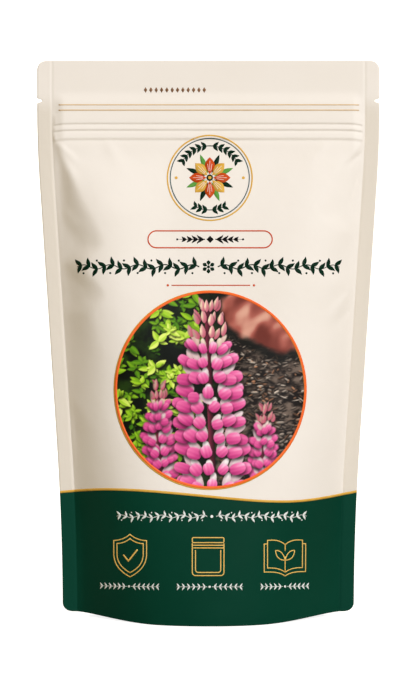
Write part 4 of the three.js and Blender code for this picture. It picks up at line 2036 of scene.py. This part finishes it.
@dataclass
class BarkGround:
    """Ground of bark chips on the right of the picture, lit from above, and a blurred shrub behind it."""

    seed: int = 17
    edge: float = 4.0
    edge_half: float = 2.0
    edge_wander: float = 1.6
    edge_cell: float = 4.0
    clod_cell: float = 3.0
    clod_span: Pair = (-0.25, 0.6)
    chips: int = 900
    horizon: float = 20.0
    reach: float = 34.0
    chip_form: float = 2.6
    chip_soft: Pair = (0.14, 0.25)
    chip_turn: float = 30.0
    chip_fall: float = 0.35
    chip_shade: float = 0.6
    chip_cover: float = 0.92
    sun_cell: float = 11.0
    sun_edge: Pair = (-0.35, 0.3)
    chip_length: Pair = (1.2, 3.6)
    chip_width: Pair = (0.5, 1.2)
    warm_share: float = 0.2
    soil: Tones = ((28, 22, 19), (118, 102, 90))
    grey_chip: Tones = ((84, 70, 60), (244, 226, 206))
    warm_chip: Tones = ((96, 70, 54), (232, 164, 120))
    gap: Color = (20, 20, 16)
    shrub_centre: Pair = (19.0, 24.0)
    shrub_size: Pair = (15.5, 9.0)
    shrub_slope: float = 0.28
    shrub_edge: Pair = (-0.12, 0.16)
    shrub_wander: float = 0.3
    shrub_cell: float = 7.0
    bloom_cell: float = 5.2
    bloom_span: Pair = (-0.7, 0.75)
    gap_size: float = 1.25
    gap_drop: float = 0.12
    gap_edge: Pair = (-0.1, 0.25)
    gap_cover: float = 0.85
    shrub_tones: Tones = ((112, 48, 38), (145, 72, 60), (178, 98, 84), (226, 170, 146))

    def paint(self, canvas: Canvas) -> None:
        """Paints the soil, chips that shrink towards the back, and the shrub.

        Args:
            canvas: the canvas.
        """
        draw = np.random.default_rng(self.seed)
        x, y = canvas.x, canvas.y
        wander = self.edge_wander * layered_noise(x, y, self.edge_cell, self.seed, 2)
        side = smoothstep(x + wander - 0.06 * y, self.edge - self.edge_half, self.edge + self.edge_half)
        clods = layered_noise(x, y * 1.8, self.clod_cell, self.seed + 1, 4)
        canvas.lay(EVERYWHERE, side, ramp(self.soil, smoothstep(clods, *self.clod_span)))
        for _ in range(self.chips):
            self.chip(canvas, draw)
        self.shrub(canvas)

    def chip(self, canvas: Canvas, draw: np.random.Generator) -> None:
        """Paints one chip and its shadow: brighter on its upper side, dimmer where the ground is shaded.

        Args:
            canvas: the canvas.
            draw: the random numbers.
        """
        x, y = draw.uniform(self.edge - 3.0, self.reach), draw.uniform(-self.reach, self.horizon)
        near = 1 - 0.5 * (y + self.reach) / (self.horizon + self.reach)
        length, width = draw.uniform(*self.chip_length) * near, draw.uniform(*self.chip_width) * near
        blade = Blade(x, y, draw.normal(0.0, self.chip_turn), length, width)
        tones = self.warm_chip if draw.uniform() < self.warm_share else self.grey_chip
        patches = layered_noise(x, y, self.sun_cell, self.seed + 7, 2)
        tone = draw.uniform(0.0, 1.0) ** 1.3 * (0.2 + 0.8 * float(smoothstep(patches, *self.sun_edge)))
        below = Blade(x, y - self.chip_fall * near, blade.heading, length, width)
        where, s, w = below.lie(canvas)
        mask = round_mask(below, s, w, self.chip_form, self.chip_soft[1])
        canvas.shade(where, mask * (canvas.x[where] > self.edge - 1.0), self.chip_shade)
        where, s, w = blade.lie(canvas)
        inside = smoothstep(canvas.x[where], self.edge - 2.5, self.edge + 1.0) * self.chip_cover
        color = ramp(tones, np.full(len(where), tone)) * (0.8 + 0.3 * np.tanh(2 * w))[:, None]
        canvas.lay(where, round_mask(blade, s, w, self.chip_form, self.chip_soft[0]) * inside, color)

    def shrub(self, canvas: Canvas) -> None:
        """Paints the blurred shrub: an oval with a wandering edge, soft blooms on it, a dark gap below.

        Args:
            canvas: the canvas.
        """
        x, y = canvas.x, canvas.y
        u = (x - self.shrub_centre[0]) / self.shrub_size[0]
        v = (y - self.shrub_centre[1] + self.shrub_slope * (x - self.shrub_centre[0])) / self.shrub_size[1]
        wander = self.shrub_wander * layered_noise(x, y, self.shrub_cell, self.seed + 3, 3)
        gap = smoothstep(self.gap_size - np.hypot(u, v + self.gap_drop) + wander, *self.gap_edge)
        canvas.lay(EVERYWHERE, gap * self.gap_cover, np.array(self.gap))
        bloom = layered_noise(x + 40.0, y - 0.5 * x, self.bloom_cell, self.seed + 4, 2)
        bloom += 0.25 * (v - 0.3 * u)
        body = smoothstep(1.0 - np.hypot(u, v) + wander, *self.shrub_edge)
        canvas.lay(EVERYWHERE, body, ramp(self.shrub_tones, smoothstep(bloom, *self.bloom_span)))


@dataclass
class FlowerSpike:
    """Upright spike of pea-shaped blossoms in whorls round a stem, open below and in bud above."""

    x: float
    foot: float
    tip: float
    girth: float
    lean: float
    seed: int
    tone: float = 1.0
    pitch: float = 5.3
    around: int = 10
    blossom: Pair = (6.3, 4.1)
    bud: Pair = (4.6, 1.9)
    soft: float = 0.1
    opening: Pair = (0.58, 0.86)
    rise_deg: Pair = (68.0, 18.0)
    turn_deg: float = 137.5
    unrest: float = 1.05
    wing_tones: Tones = ((164, 38, 104), (218, 74, 142), (250, 122, 178), (255, 200, 226))
    petal_tones: Tones = ((196, 146, 158), (255, 246, 244))
    young_tones: Tones = ((198, 138, 130), (250, 236, 190))
    bud_tones: Tones = ((184, 70, 96), (240, 178, 176))
    cream: Color = (250, 236, 190)
    stem: Color = (104, 34, 52)
    sway: float = 0.5
    stem_flake: Pair = (1.6, 2.1)
    bare_tip: float = 3.0
    taper: float = 0.72
    taper_span: Pair = (0.4, 1.05)
    behind: float = -0.35
    size_unrest: Pair = (0.07, 0.06)
    place_unrest: Pair = (0.4, 0.35)
    turn_unrest: float = 9.0
    sink: float = 0.32
    narrowing: float = 0.1
    side_light: float = 0.1
    front_light: Pair = (0.72, 0.34)
    light_unrest: float = 0.06
    banner_turn: Pair = (0.45, 50.0)
    banner_length: Pair = (0.64, 0.36)
    banner_rise: float = 0.2
    banner_width: float = 0.6
    wing_form: float = 2.5
    wing_shadow: Triple = (-0.7, 1.04, 1.1)
    wing_shade: float = 0.5
    bud_blunt: float = 0.75
    bud_shade: float = 0.4
    bud_age: float = 0.25

    def stem_x(self, y: float) -> float:
        """Where the stem is at height y: it leans evenly, and sways by a sine."""
        share = (y - self.foot) / (self.tip - self.foot)
        return self.x + self.lean * share + self.sway * math.sin(3.0 * share + self.seed)

    def wings(self, canvas: Canvas, blade: Blade, light: float, facing: float) -> None:
        """Paints the pink wings: dark at the base and below, lit towards the tip and the top.

        Args:
            canvas: the canvas.
            blade: where it lies.
            light: its brightness, 1 in full light.
            facing: how far the blossom faces the viewer, 0 to 1.
        """
        up, longer, wider = self.wing_shadow
        below = Blade(blade.x, blade.y + up, blade.heading, blade.length * longer, blade.width * wider)
        where, s, w = below.lie(canvas)
        canvas.shade(where, round_mask(below, s, w, 2.4, 0.7), self.wing_shade)
        where, s, w = blade.lie(canvas)
        turn = math.radians(blade.heading)
        up = (2 * s - 1) * math.sin(turn) * blade.length / blade.width + w * math.cos(turn)
        glow = 0.5 + 0.3 * np.clip(up, -1.3, 1.3) + 0.24 * (2 * s - 1) * (1 - facing)
        streak = 0.05 * np.sin(9.0 * w + 3.0 * s + self.seed)
        ridge = 0.12 * np.exp(-(((w - 0.35) / 0.3) ** 2)) * smoothstep(s, 0.25, 0.6)
        color = ramp(self.wing_tones, (glow + streak + ridge) * light)
        canvas.lay(where, round_mask(blade, s, w, self.wing_form, self.soft), color)

    def banner(self, canvas: Canvas, blade: Blade, young: float, light: float) -> None:
        """Paints the pale petal that stands behind the wings, creamier on a young blossom.

        Args:
            canvas: the canvas.
            blade: where it lies.
            young: 0 for an open blossom, 1 for a young one.
            light: its brightness, 1 in full light.
        """
        where, s, w = blade.lie(canvas)
        tone = (0.35 + 0.75 * s - 0.3 * np.abs(w)) * light
        color = ramp(self.petal_tones, tone) * (1 - young) + ramp(self.young_tones, tone) * young
        canvas.lay(where, round_mask(blade, s, w, 2.2, self.soft), color)

    def closed(self, canvas: Canvas, blade: Blade, light: float) -> None:
        """Paints a closed bud with a cream stripe down its left side.

        Args:
            canvas: the canvas.
            blade: where it lies.
            light: its brightness, 1 in full light.
        """
        where, s, w = blade.lie(canvas)
        canvas.shade(where, pointed_mask(blade, s, w + 0.35, self.bud_blunt, 0.5), self.bud_shade)
        color = ramp(self.bud_tones, (0.3 + 0.7 * s + 0.25 * w) * light)
        stripe = 0.75 * smoothstep(w, -0.1, 0.5) * smoothstep(s, 0.1, 0.5)
        color += (np.array(self.cream) * light - color) * stripe[:, None]
        canvas.lay(where, pointed_mask(blade, s, w, self.bud_blunt, self.soft), color)

    def floret(
        self, canvas: Canvas, level: float, turn: float, age: float, radius: float, unrest: Array
    ) -> None:
        """Paints one blossom or bud.

        Args:
            canvas: the canvas.
            level: height of its whorl.
            turn: its angle round the stem, 0 at the front, in radians.
            age: 1 for an open blossom, 0 for a closed bud.
            radius: how far its tip stands out from the stem.
            unrest: three small random numbers for its place, size and light.
        """
        aside, facing = math.sin(turn), max(0.0, math.cos(turn))
        length, width, rise = (
            young + (old - young) * age
            for young, old in (*zip(self.bud, self.blossom), self.rise_deg)
        )
        length *= 1 + self.size_unrest[0] * unrest[2]
        width *= 1 + self.size_unrest[1] * unrest[1]
        rise = math.radians(rise + self.turn_unrest * unrest[0])
        out = (aside * math.cos(rise), math.sin(rise))
        seen = math.hypot(*out)
        heading = math.degrees(math.atan2(out[1], out[0]))
        start = max(0.0, radius - length * math.cos(rise))
        x = self.stem_x(level) + aside * start * (1 - 0.25 * facing) + self.place_unrest[0] * unrest[1]
        y = level - self.sink * width * facing + self.place_unrest[1] * unrest[2]
        light = self.front_light[0] + self.front_light[1] * facing
        light = self.tone * (light + self.light_unrest * unrest[0] + self.side_light * aside)
        shown = max(length * seen, width * (0.92 + 0.1 * facing))
        blade = Blade(x, y, heading, shown, width * (1 - self.narrowing * facing))
        if age < self.bud_age:
            self.closed(canvas, blade, light)
            return
        upward = heading * self.banner_turn[0] + self.banner_turn[1] + self.turn_unrest * unrest[1]
        long = length * (self.banner_length[0] + self.banner_length[1] * seen)
        banner = Blade(x, y + self.banner_rise * width, upward, long, self.banner_width * width)
        self.banner(canvas, banner, 1 - age, light)
        self.wings(canvas, blade, light, facing)

    def paint(self, canvas: Canvas) -> None:
        """Paints the stem, then the whorls from the foot up, each from its back to its front.

        Args:
            canvas: the canvas.
        """
        draw = np.random.default_rng(self.seed)
        for level in np.arange(self.foot, self.tip - self.bare_tip, 1.0):
            blade = Blade(self.stem_x(level), level - 0.3, 90.0, *self.stem_flake)
            where, s, w = blade.lie(canvas)
            color = np.array(self.stem) * (0.85 + 0.45 * np.clip(w, -1, 1))[:, None]
            canvas.lay(where, round_mask(blade, s, w, 6.0, 0.15), color)
        whorls = round((self.tip - self.foot) / self.pitch)
        for k in range(whorls):
            share = (k + 0.5) / whorls
            level = self.foot + (self.tip - self.foot) * share**0.9
            age = float(1 - smoothstep(share, *self.opening))
            radius = self.girth * (1 - self.taper * float(smoothstep(share, *self.taper_span)))
            turns = 360.0 / self.around * np.arange(self.around) + self.turn_deg * k
            turns = np.radians(turns) % (2 * np.pi)
            for turn in turns[np.argsort(np.cos(turns))]:
                unrest = draw.normal(0.0, self.unrest, 3)
                if math.cos(turn) > self.behind:
                    self.floret(canvas, level, float(turn), age, radius, unrest)


@dataclass
class GardenPicture:
    """Round garden picture: flower spikes between leaves and bark, all by formula."""

    radii: Pair = (32.75, 33.55)
    steps: int = 292
    stride: int = 4
    top: float = 0.045
    bottom: float = -0.1
    spikes: tuple[FlowerSpike, ...] = (
        FlowerSpike(
            -16.5, -36.0, 2.0, 6.4, -1.5,
            seed=3, tone=0.72, pitch=3.9, blossom=(4.6, 2.9), bud=(3.2, 1.4), soft=0.25,
        ),
        FlowerSpike(
            17.0, -36.0, -6.0, 5.8, 2.0,
            seed=8, tone=0.78, pitch=3.8, blossom=(4.4, 2.8), bud=(3.1, 1.4), soft=0.22,
        ),
        FlowerSpike(0.5, -37.0, 29.5, 13.2, -1.0, seed=21),
    )

    def build(self, face: FilmFace, slot: str) -> None:
        """Builds the picture as a thin closed disc on the film, with a colour at each vertex.

        It is painted from the back to the front.

        Args:
            face: the film face that it is printed on.
            slot: the record's material slot.
        """
        x, z = (radius * axis for radius, axis in zip(self.radii, pressed_disc(self.steps)))
        canvas = Canvas(x.ravel(), z.ravel())
        for motif in (Foliage(), BarkGround(), *self.spikes):
            motif.paint(canvas)
        colors = to_linear(canvas.color).reshape(*x.shape, 3)
        x, z = x + PICTURE_CENTRE[0], z + PICTURE_CENTRE[1]
        coarse = (slice(None, None, self.stride),) * 2
        builder = MeshBuilder()
        outer = face.printed(x, z, self.top)
        inner = face.printed(x[coarse], z[coarse], self.bottom)
        builder.add_sheet(outer, inner, self.stride)
        piece = builder.build("garden_picture")
        add_colors(piece, "paint", np.concatenate([colors.reshape(-1, 3), colors[coarse].reshape(-1, 3)]))
        install(piece, PictureFinish("printed_picture").material(), slot)


# ---- Gusset, seeds and zip ----


@dataclass
class BottomGusset:
    """Folded bottom film, opened by the load: a skirt sealed to each panel and the web between them."""

    shape: PouchShape
    fold: float = 30.0
    gap: float = 0.3
    reach_share: float = 0.95
    settled_half: float = 14.0
    settled_ease: float = 20.0
    settled_depth: float = 0.45
    columns: int = 180
    skirt_rows: int = 14
    web_rows: int = 84
    crease: float = 0.22
    crease_half: float = 0.7
    crumple: float = 0.26
    crumple_cell: float = 8.0
    crumple_span: float = 20.0
    crumple_start: Pair = (0.5, 6.0)
    seed: int = 71

    def seal_line(self, x: Array) -> Array:
        """Height where the web leaves the panels: low in the middle, up at the side seals."""
        floor = np.zeros_like(x)
        return self.fold - self.shape.bulge(floor) * self.shape.section(x / self.shape.chord(floor), floor)

    def web_height(self, x: Array, q: Array) -> Array:
        """Height of the web's underside, which is on the floor where it has settled.

        Args:
            x: positions along X.
            q: share of the way from the middle to the panels, -1 to 1.

        Returns:
            The height at each point.
        """
        ends = 1 - smoothstep(np.abs(x), self.settled_half, self.settled_half + self.settled_ease)
        sides = 1 - smoothstep(np.abs(q), self.settled_depth, 1.0)
        return self.seal_line(x) * (1 - ends * sides)

    def unrest(self, x: Array, q: Array) -> Array:
        """Crumple of the web, none at its seals or on the floor, and the crease of its fold.

        Args:
            x: positions along X.
            q: share of the way from the middle to the panels, -1 to 1.

        Returns:
            Its height.
        """
        held = (1 - q**4) * smoothstep(self.web_height(x, q), *self.crumple_start)
        ridge = self.crease * np.exp(-((q * self.shape.bulge(np.zeros_like(x)) / self.crease_half) ** 2))
        noise = layered_noise(x, self.crumple_span * q, self.crumple_cell, self.seed, 3)
        return ridge + self.crumple * held * noise

    def surface(self, upper: bool) -> Array:
        """Lays out one face: up the front skirt, across the web, down the back skirt.

        Args:
            upper: whether it is the upper face.

        Returns:
            Its points, rows by columns by 3.
        """
        t = np.linspace(-self.reach_share, self.reach_share, self.columns + 1)[None, :]
        x = t * self.shape.chord(np.zeros(1))
        inset = self.gap + (0.0 if upper else self.shape.film)
        thickness = self.shape.film if upper else 0.0
        line = self.seal_line(x)
        share = np.linspace(0.0, 1.0, self.skirt_rows + 1)[:-1, None]
        height = self.shape.lift(t) * (1 - share) + (line + thickness) * share
        wide = np.broadcast_to(x, height.shape)
        skirt = np.stack([wide, self.shape.reach(wide, height) - inset, height], axis=-1)
        q = np.linspace(-1.0, 1.0, self.web_rows + 1)[:, None]
        across = q * (self.shape.reach(x, line) - inset)
        level = self.web_height(x, q) + thickness + self.unrest(x, q * np.ones_like(x))
        web = np.stack([np.broadcast_to(x, level.shape), across, level], axis=-1)
        return np.concatenate([skirt * (1.0, -1.0, 1.0), web, skirt[::-1]])

    def build(self) -> None:
        """Builds the gusset in its node's place."""
        builder = MeshBuilder()
        builder.add_sheet(self.surface(True), self.surface(False))
        piece = builder.build("bottom_gusset_film")
        install(piece, FilmFinish("green_film").material(), "green_film", "bottom_gusset")


@dataclass
class SeedHeap:
    """The filling: a closed heap that follows the film, and loose seeds lying on top of it."""

    shape: PouchShape
    gusset: BottomGusset
    top: float = 97.0
    gap: float = 0.35
    reach_share: float = 0.9
    tilt: float = 0.05
    fall: Pair = (0.0016, 0.004)
    relief: float = 0.8
    relief_cell: float = 2.6
    sunk: float = 1.9
    wall_slope: float = 2.0
    stations: int = 128
    floor_steps: int = 44
    wall_steps: int = 60
    seed_size: Triple = (2.3, 1.7, 1.15)
    seed_growth: Pair = (0.86, 1.08)
    seed_pitch: float = 4.3
    seed_rows: Pair = (30.0, 0.86)
    seed_shift: float = 0.5
    seed_lean: float = 0.22
    seed_lift: float = 0.75
    seed_margin: float = 0.3
    seed_rings: int = 5
    seed_sides: int = 8
    seed: int = 29

    def heap_top(self, x: Array, y: Array) -> Array:
        """Top of the heap: it slopes away from a low crown with the squares of x and y."""
        return self.top - self.fall[0] * x**2 - self.fall[1] * y**2 - self.tilt * x

    def loops(self) -> Array:
        """Lays out closed loops round the heap, each over the floor, up, over the top and down.

        Returns:
            Their points: stations, steps round, 3.
        """
        t = np.linspace(-self.reach_share, self.reach_share, self.stations + 1)[:, None]
        x = t * self.shape.chord(np.zeros(1))
        film = self.shape.film
        q = np.linspace(-1.0, 1.0, self.floor_steps + 1)[None, :]
        up = np.linspace(0.0, 1.0, self.wall_steps + 1)[None, 1:-1]
        clear = film + self.gap + 2 * self.gusset.crumple
        floor = self.gusset.web_height(x, q) + clear
        foot = floor[:, -1:] + film
        shoulder = self.heap_top(x, self.shape.reach(x, np.full_like(x, self.top)) - self.gap)
        narrow = self.shape.reach(x, foot) - self.gusset.gap - film - 2 * self.gap
        rise = foot + (shoulder - foot) * up
        inset = self.gap + 0.5 * self.relief
        wall = self.shape.reach(x * np.ones_like(rise), rise) - inset
        wall = np.minimum(wall, narrow + self.wall_slope * (rise - foot))
        wide = (self.shape.reach(x, shoulder) - inset) * q
        y = np.concatenate([q * narrow, wall, -wide, -wall[:, ::-1]], axis=1)
        z = np.concatenate([floor, rise, self.heap_top(x, wide) - self.sunk, rise[:, ::-1]], axis=1)
        return np.stack([np.broadcast_to(x, y.shape), y, z], axis=-1)

    def build_heap(self) -> None:
        """Builds the heap with seed-sized relief that only ever sinks in, so it stays clear of the film."""
        points = self.loops()
        away = points - points.mean(axis=1, keepdims=True)
        away[..., 0] = 0.0
        away /= np.linalg.norm(away, axis=-1, keepdims=True)
        across, up = points[..., 0] + points[..., 1], points[..., 2] - points[..., 1]
        bumps = layered_noise(across, up, self.relief_cell, self.seed, 2)
        builder = MeshBuilder()
        ids = builder.add_points(points - away * (self.relief * (0.5 - 0.5 * bumps))[..., None])
        builder.add_faces(quads(wrapped(ids)), True)
        for end in (ids[0, ::-1], ids[-1]):
            builder.add_faces(end[None, :], False)
        coat = SeedFinish("seed_heap_coat").material()
        install(builder.build("seed_heap"), coat, "seed_coat", "seed_fill")

    def places(self, draw: np.random.Generator) -> Array:
        """Finds places for loose seeds on the heap: a staggered grid, shifted a little at random.

        Args:
            draw: the random numbers.

        Returns:
            Their middles.
        """
        half = self.reach_share * float(self.shape.chord(np.zeros(1))[0]) - self.seed_size[0]
        depth, share = self.seed_rows
        rows = np.arange(-depth, depth, self.seed_pitch * share)
        x, y = np.meshgrid(np.arange(-half, half, self.seed_pitch), rows)
        x = x + self.seed_pitch / 2 * (np.arange(len(x)) % 2)[:, None]
        x, y = (axis + draw.uniform(-self.seed_shift, self.seed_shift, x.shape) for axis in (x, y))
        inset = self.gap + self.seed_size[0] + self.seed_margin
        keep = (np.abs(y) < self.shape.reach(x, self.heap_top(x, y)) - inset) & (np.abs(x) < half)
        x, y = x[keep], y[keep]
        return np.stack([x, y, self.heap_top(x, y) - self.sunk + self.seed_lift], axis=-1)

    def ball(self) -> Array:
        """Lays out one seed's points: rings from its upper to its lower side, then both poles.

        Returns:
            Its points, about its middle.
        """
        polar = np.linspace(0.0, math.pi, self.seed_rings + 2)[1:-1, None]
        side = np.linspace(0.0, 2 * math.pi, self.seed_sides, endpoint=False)
        level = np.broadcast_to(np.cos(polar), (self.seed_rings, self.seed_sides))
        ball = np.stack([np.cos(side) * np.sin(polar), np.sin(side) * np.sin(polar), level], axis=-1)
        return np.concatenate([ball.reshape(-1, 3), [[0.0, 0.0, 1.0], [0.0, 0.0, -1.0]]]) * self.seed_size

    def build_loose(self) -> None:
        """Builds the top layer: flattened ovals, turned, tipped and sized at random."""
        draw = np.random.default_rng(self.seed)
        centre, ball = self.places(draw), self.ball()
        count = len(centre)
        turn, lean = draw.uniform(0.0, 2 * math.pi, count), draw.normal(0.0, self.seed_lean, count)
        cos, sin = np.cos(turn)[:, None], np.sin(turn)[:, None]
        tipped = ball[None, :, 2] + ball[None, :, 0] * lean[:, None]
        size = draw.uniform(*self.seed_growth, (count, 1))
        along, aside = ball[:, 0] * cos - ball[:, 1] * sin, ball[:, 0] * sin + ball[:, 1] * cos
        points = np.stack([along, aside, tipped], axis=-1) * size[..., None]
        builder = MeshBuilder()
        ids = builder.add_points(centre[:, None] + points)
        for seed in ids:
            rings = wrapped(seed[:-2].reshape(self.seed_rings, self.seed_sides))
            builder.add_faces(quads(rings[::-1]), True)
            for pole, ring in ((seed[-2], rings[0]), (seed[-1], rings[-1, ::-1])):
                poles = np.full(self.seed_sides, pole)
                builder.add_faces(np.stack([poles, ring[:-1], ring[1:]], axis=-1), True)
        install(builder.build("loose_seeds"), SeedFinish("seed_coat").material(), "seed_coat")

    def build(self) -> None:
        """Builds the heap and the seeds on it."""
        self.build_heap()
        self.build_loose()


def dress_zip(nodes: dict[str, Piece]) -> None:
    """Gives both halves of the zip their plastic finish.

    Args:
        nodes: the frame's nodes by name.
    """
    plastic = ZipFinish("zip_plastic").material()
    for name in ("zip_front", "zip_back"):
        for slot in nodes[name].material_slots:
            slot.material = plastic
        LOG.info("%s: dressed", name)


# ---- Scene ----


@dataclass(frozen=True)
class SoftLight:
    """Square soft light that faces the pouch's middle.

    It stands at an azimuth from the front towards the right and an elevation above the pouch's
    middle, both in degrees, and its power is in watts.
    """

    name: str
    azimuth: float
    elevation: float
    size: float
    power: float
    reach: float
    color: Triple

    def build(self, middle: float) -> None:
        """Adds the light.

        Args:
            middle: height of the pouch's middle.
        """
        data = bpy.data.lights.new(self.name, "AREA")
        data.size = self.size * MM
        data.energy = self.power
        data.color = self.color
        light = bpy.data.objects.new(self.name, data)
        turn, rise = math.radians(self.azimuth), math.radians(self.elevation)
        level = math.cos(rise) * self.reach
        place = (math.sin(turn) * level, -math.cos(turn) * level, math.sin(rise) * self.reach + middle)
        light.location = np.array(place) * MM
        light.rotation_euler = (math.pi / 2 - rise, 0.0, turn)
        bpy.context.scene.collection.objects.link(light)


@dataclass
class Studio:
    """Pale floor and backdrop, soft lights and the camera."""

    target: Triple = (-0.1, 0.0, 95.85)
    distance: float = 720.0
    elevation_deg: float = 0.97
    pixels_per_mm: float = 2.845
    frame_height_px: float = 687.0
    sensor: float = 36.0
    lights: tuple[SoftLight, ...] = (
        SoftLight("key", 24.0, 30.0, 1300.0, 86.5, 3000.0, (0.845, 0.89, 1.0)),
        SoftLight("back_fill", 190.0, 35.0, 900.0, 13.0, 1300.0, (0.9, 0.94, 1.0)),
    )
    air_light: float = 0.285
    air_color: Rgba = (1.0, 0.75, 0.32, 1.0)
    white: Rgba = (1.0, 1.0, 1.0, 1.0)
    floor_color: Rgba = (0.46, 0.43, 0.36, 1.0)
    floor_glow: float = 0.88
    floor_roughness: float = 0.9
    floor_depth: float = 700.0
    floor_width: float = 5000.0
    floor_clearance: float = 0.05
    sweep_radius: float = 600.0
    sweep_steps: int = 25
    backdrop_height: float = 2600.0

    def camera(self) -> None:
        """Adds the camera, level with the pouch's middle and aimed slightly down at it."""
        data = bpy.data.cameras.new("camera")
        data.sensor_width = self.sensor
        data.lens = self.pixels_per_mm * self.distance / self.frame_height_px * self.sensor
        data.clip_start = 0.01
        data.clip_end = 50.0
        camera = bpy.data.objects.new("camera", data)
        tilt = math.radians(self.elevation_deg)
        away = np.array([0.0, -math.cos(tilt), math.sin(tilt)]) * self.distance
        camera.location = (np.array(self.target) + away) * MM
        camera.rotation_euler = (math.pi / 2 - tilt, 0.0, 0.0)
        bpy.context.scene.collection.objects.link(camera)
        bpy.context.scene.camera = camera

    def air(self) -> None:
        """Warm dim air as light on the pouch, plain white straight to the lens."""
        world = bpy.data.worlds.new("studio_air")
        world.use_nodes = True
        bpy.context.scene.world = world
        nodes = NodeTree(world.node_tree)
        background = world.node_tree.nodes["Background"]
        nodes.join(nodes.mix(nodes.lens_ray(), self.air_color, self.white), background.inputs["Color"])
        strength = nodes.stretch(nodes.lens_ray(), target=(self.air_light, 1.0))
        nodes.join(strength, background.inputs["Strength"])

    def floor(self) -> None:
        """Pale floor that sweeps up into a backdrop far behind: flat, then a quarter circle, then upright.

        Its paper glows straight to the lens only.
        """
        turn = np.linspace(0.0, math.pi / 2, self.sweep_steps)
        radius, depth = self.sweep_radius, self.floor_depth
        y = np.concatenate([[-depth], depth + radius * np.sin(turn), [depth + radius]])
        z = np.concatenate([[0.0], radius * (1 - np.cos(turn)), [self.backdrop_height]])
        x = np.linspace(-self.floor_width / 2, self.floor_width / 2, self.sweep_steps)
        grid = np.stack(np.broadcast_arrays(x[None, :], y[:, None], z[:, None]), axis=-1)
        grid[..., 2] -= self.floor_clearance
        builder = MeshBuilder()
        builder.add_faces(quads(builder.add_points(grid)), True)
        floor = builder.build("floor")
        paper = Coat("floor_paper", Base_Color=self.floor_color, Roughness=self.floor_roughness)
        paper.shader.inputs["Emission Color"].default_value = self.white
        paper.feed("Emission Strength", paper.stretch(paper.lens_ray(), target=(0.0, self.floor_glow)))
        floor.data.materials.append(paper.material)

    def build(self) -> None:
        """Builds the stage."""
        bpy.context.scene.view_settings.view_transform = "Standard"
        self.air()
        self.floor()
        for light in self.lights:
            light.build(self.target[2])
        self.camera()


def main() -> None:
    """Builds the pouch round its frame, piece by piece."""
    logging.basicConfig(level=logging.INFO, format="%(name)s: %(message)s")
    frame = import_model()
    studio = Studio()
    studio.build()
    shape = PouchShape.from_frame()
    wave = WaveLine()
    front = FilmFace(shape, FilmRelief(shape, seed=11), FRONT)
    back = FilmFace(shape, FilmRelief(shape, seed=47, fullness=(1.3, 0.9)), BACK)
    FilmPanel(front, wave, FilmFinish("printed_film"), "front_panel", "printed_film").build()
    FilmPanel(back, wave, FilmFinish("plain_film"), "back_panel", "plain_film").build()
    run = PrintRun(front, "printed_film")
    for motif in (HeaderPrint(), RoundBadge(), NamePlate(), TitleGarland(), Divider(), PictureRing()):
        motif.draw(run)
    FootPrint(wave).draw(run)
    run.build("print")
    GardenPicture().build(front, "printed_film")
    back_run = PrintRun(back, "plain_film")
    FootPrint(wave).wave_line(back_run)
    back_run.build("back_print")
    gusset = BottomGusset(shape)
    gusset.build()
    SeedHeap(shape, gusset).build()
    dress_zip(frame["nodes"])


if __name__ == "__main__":
    main()
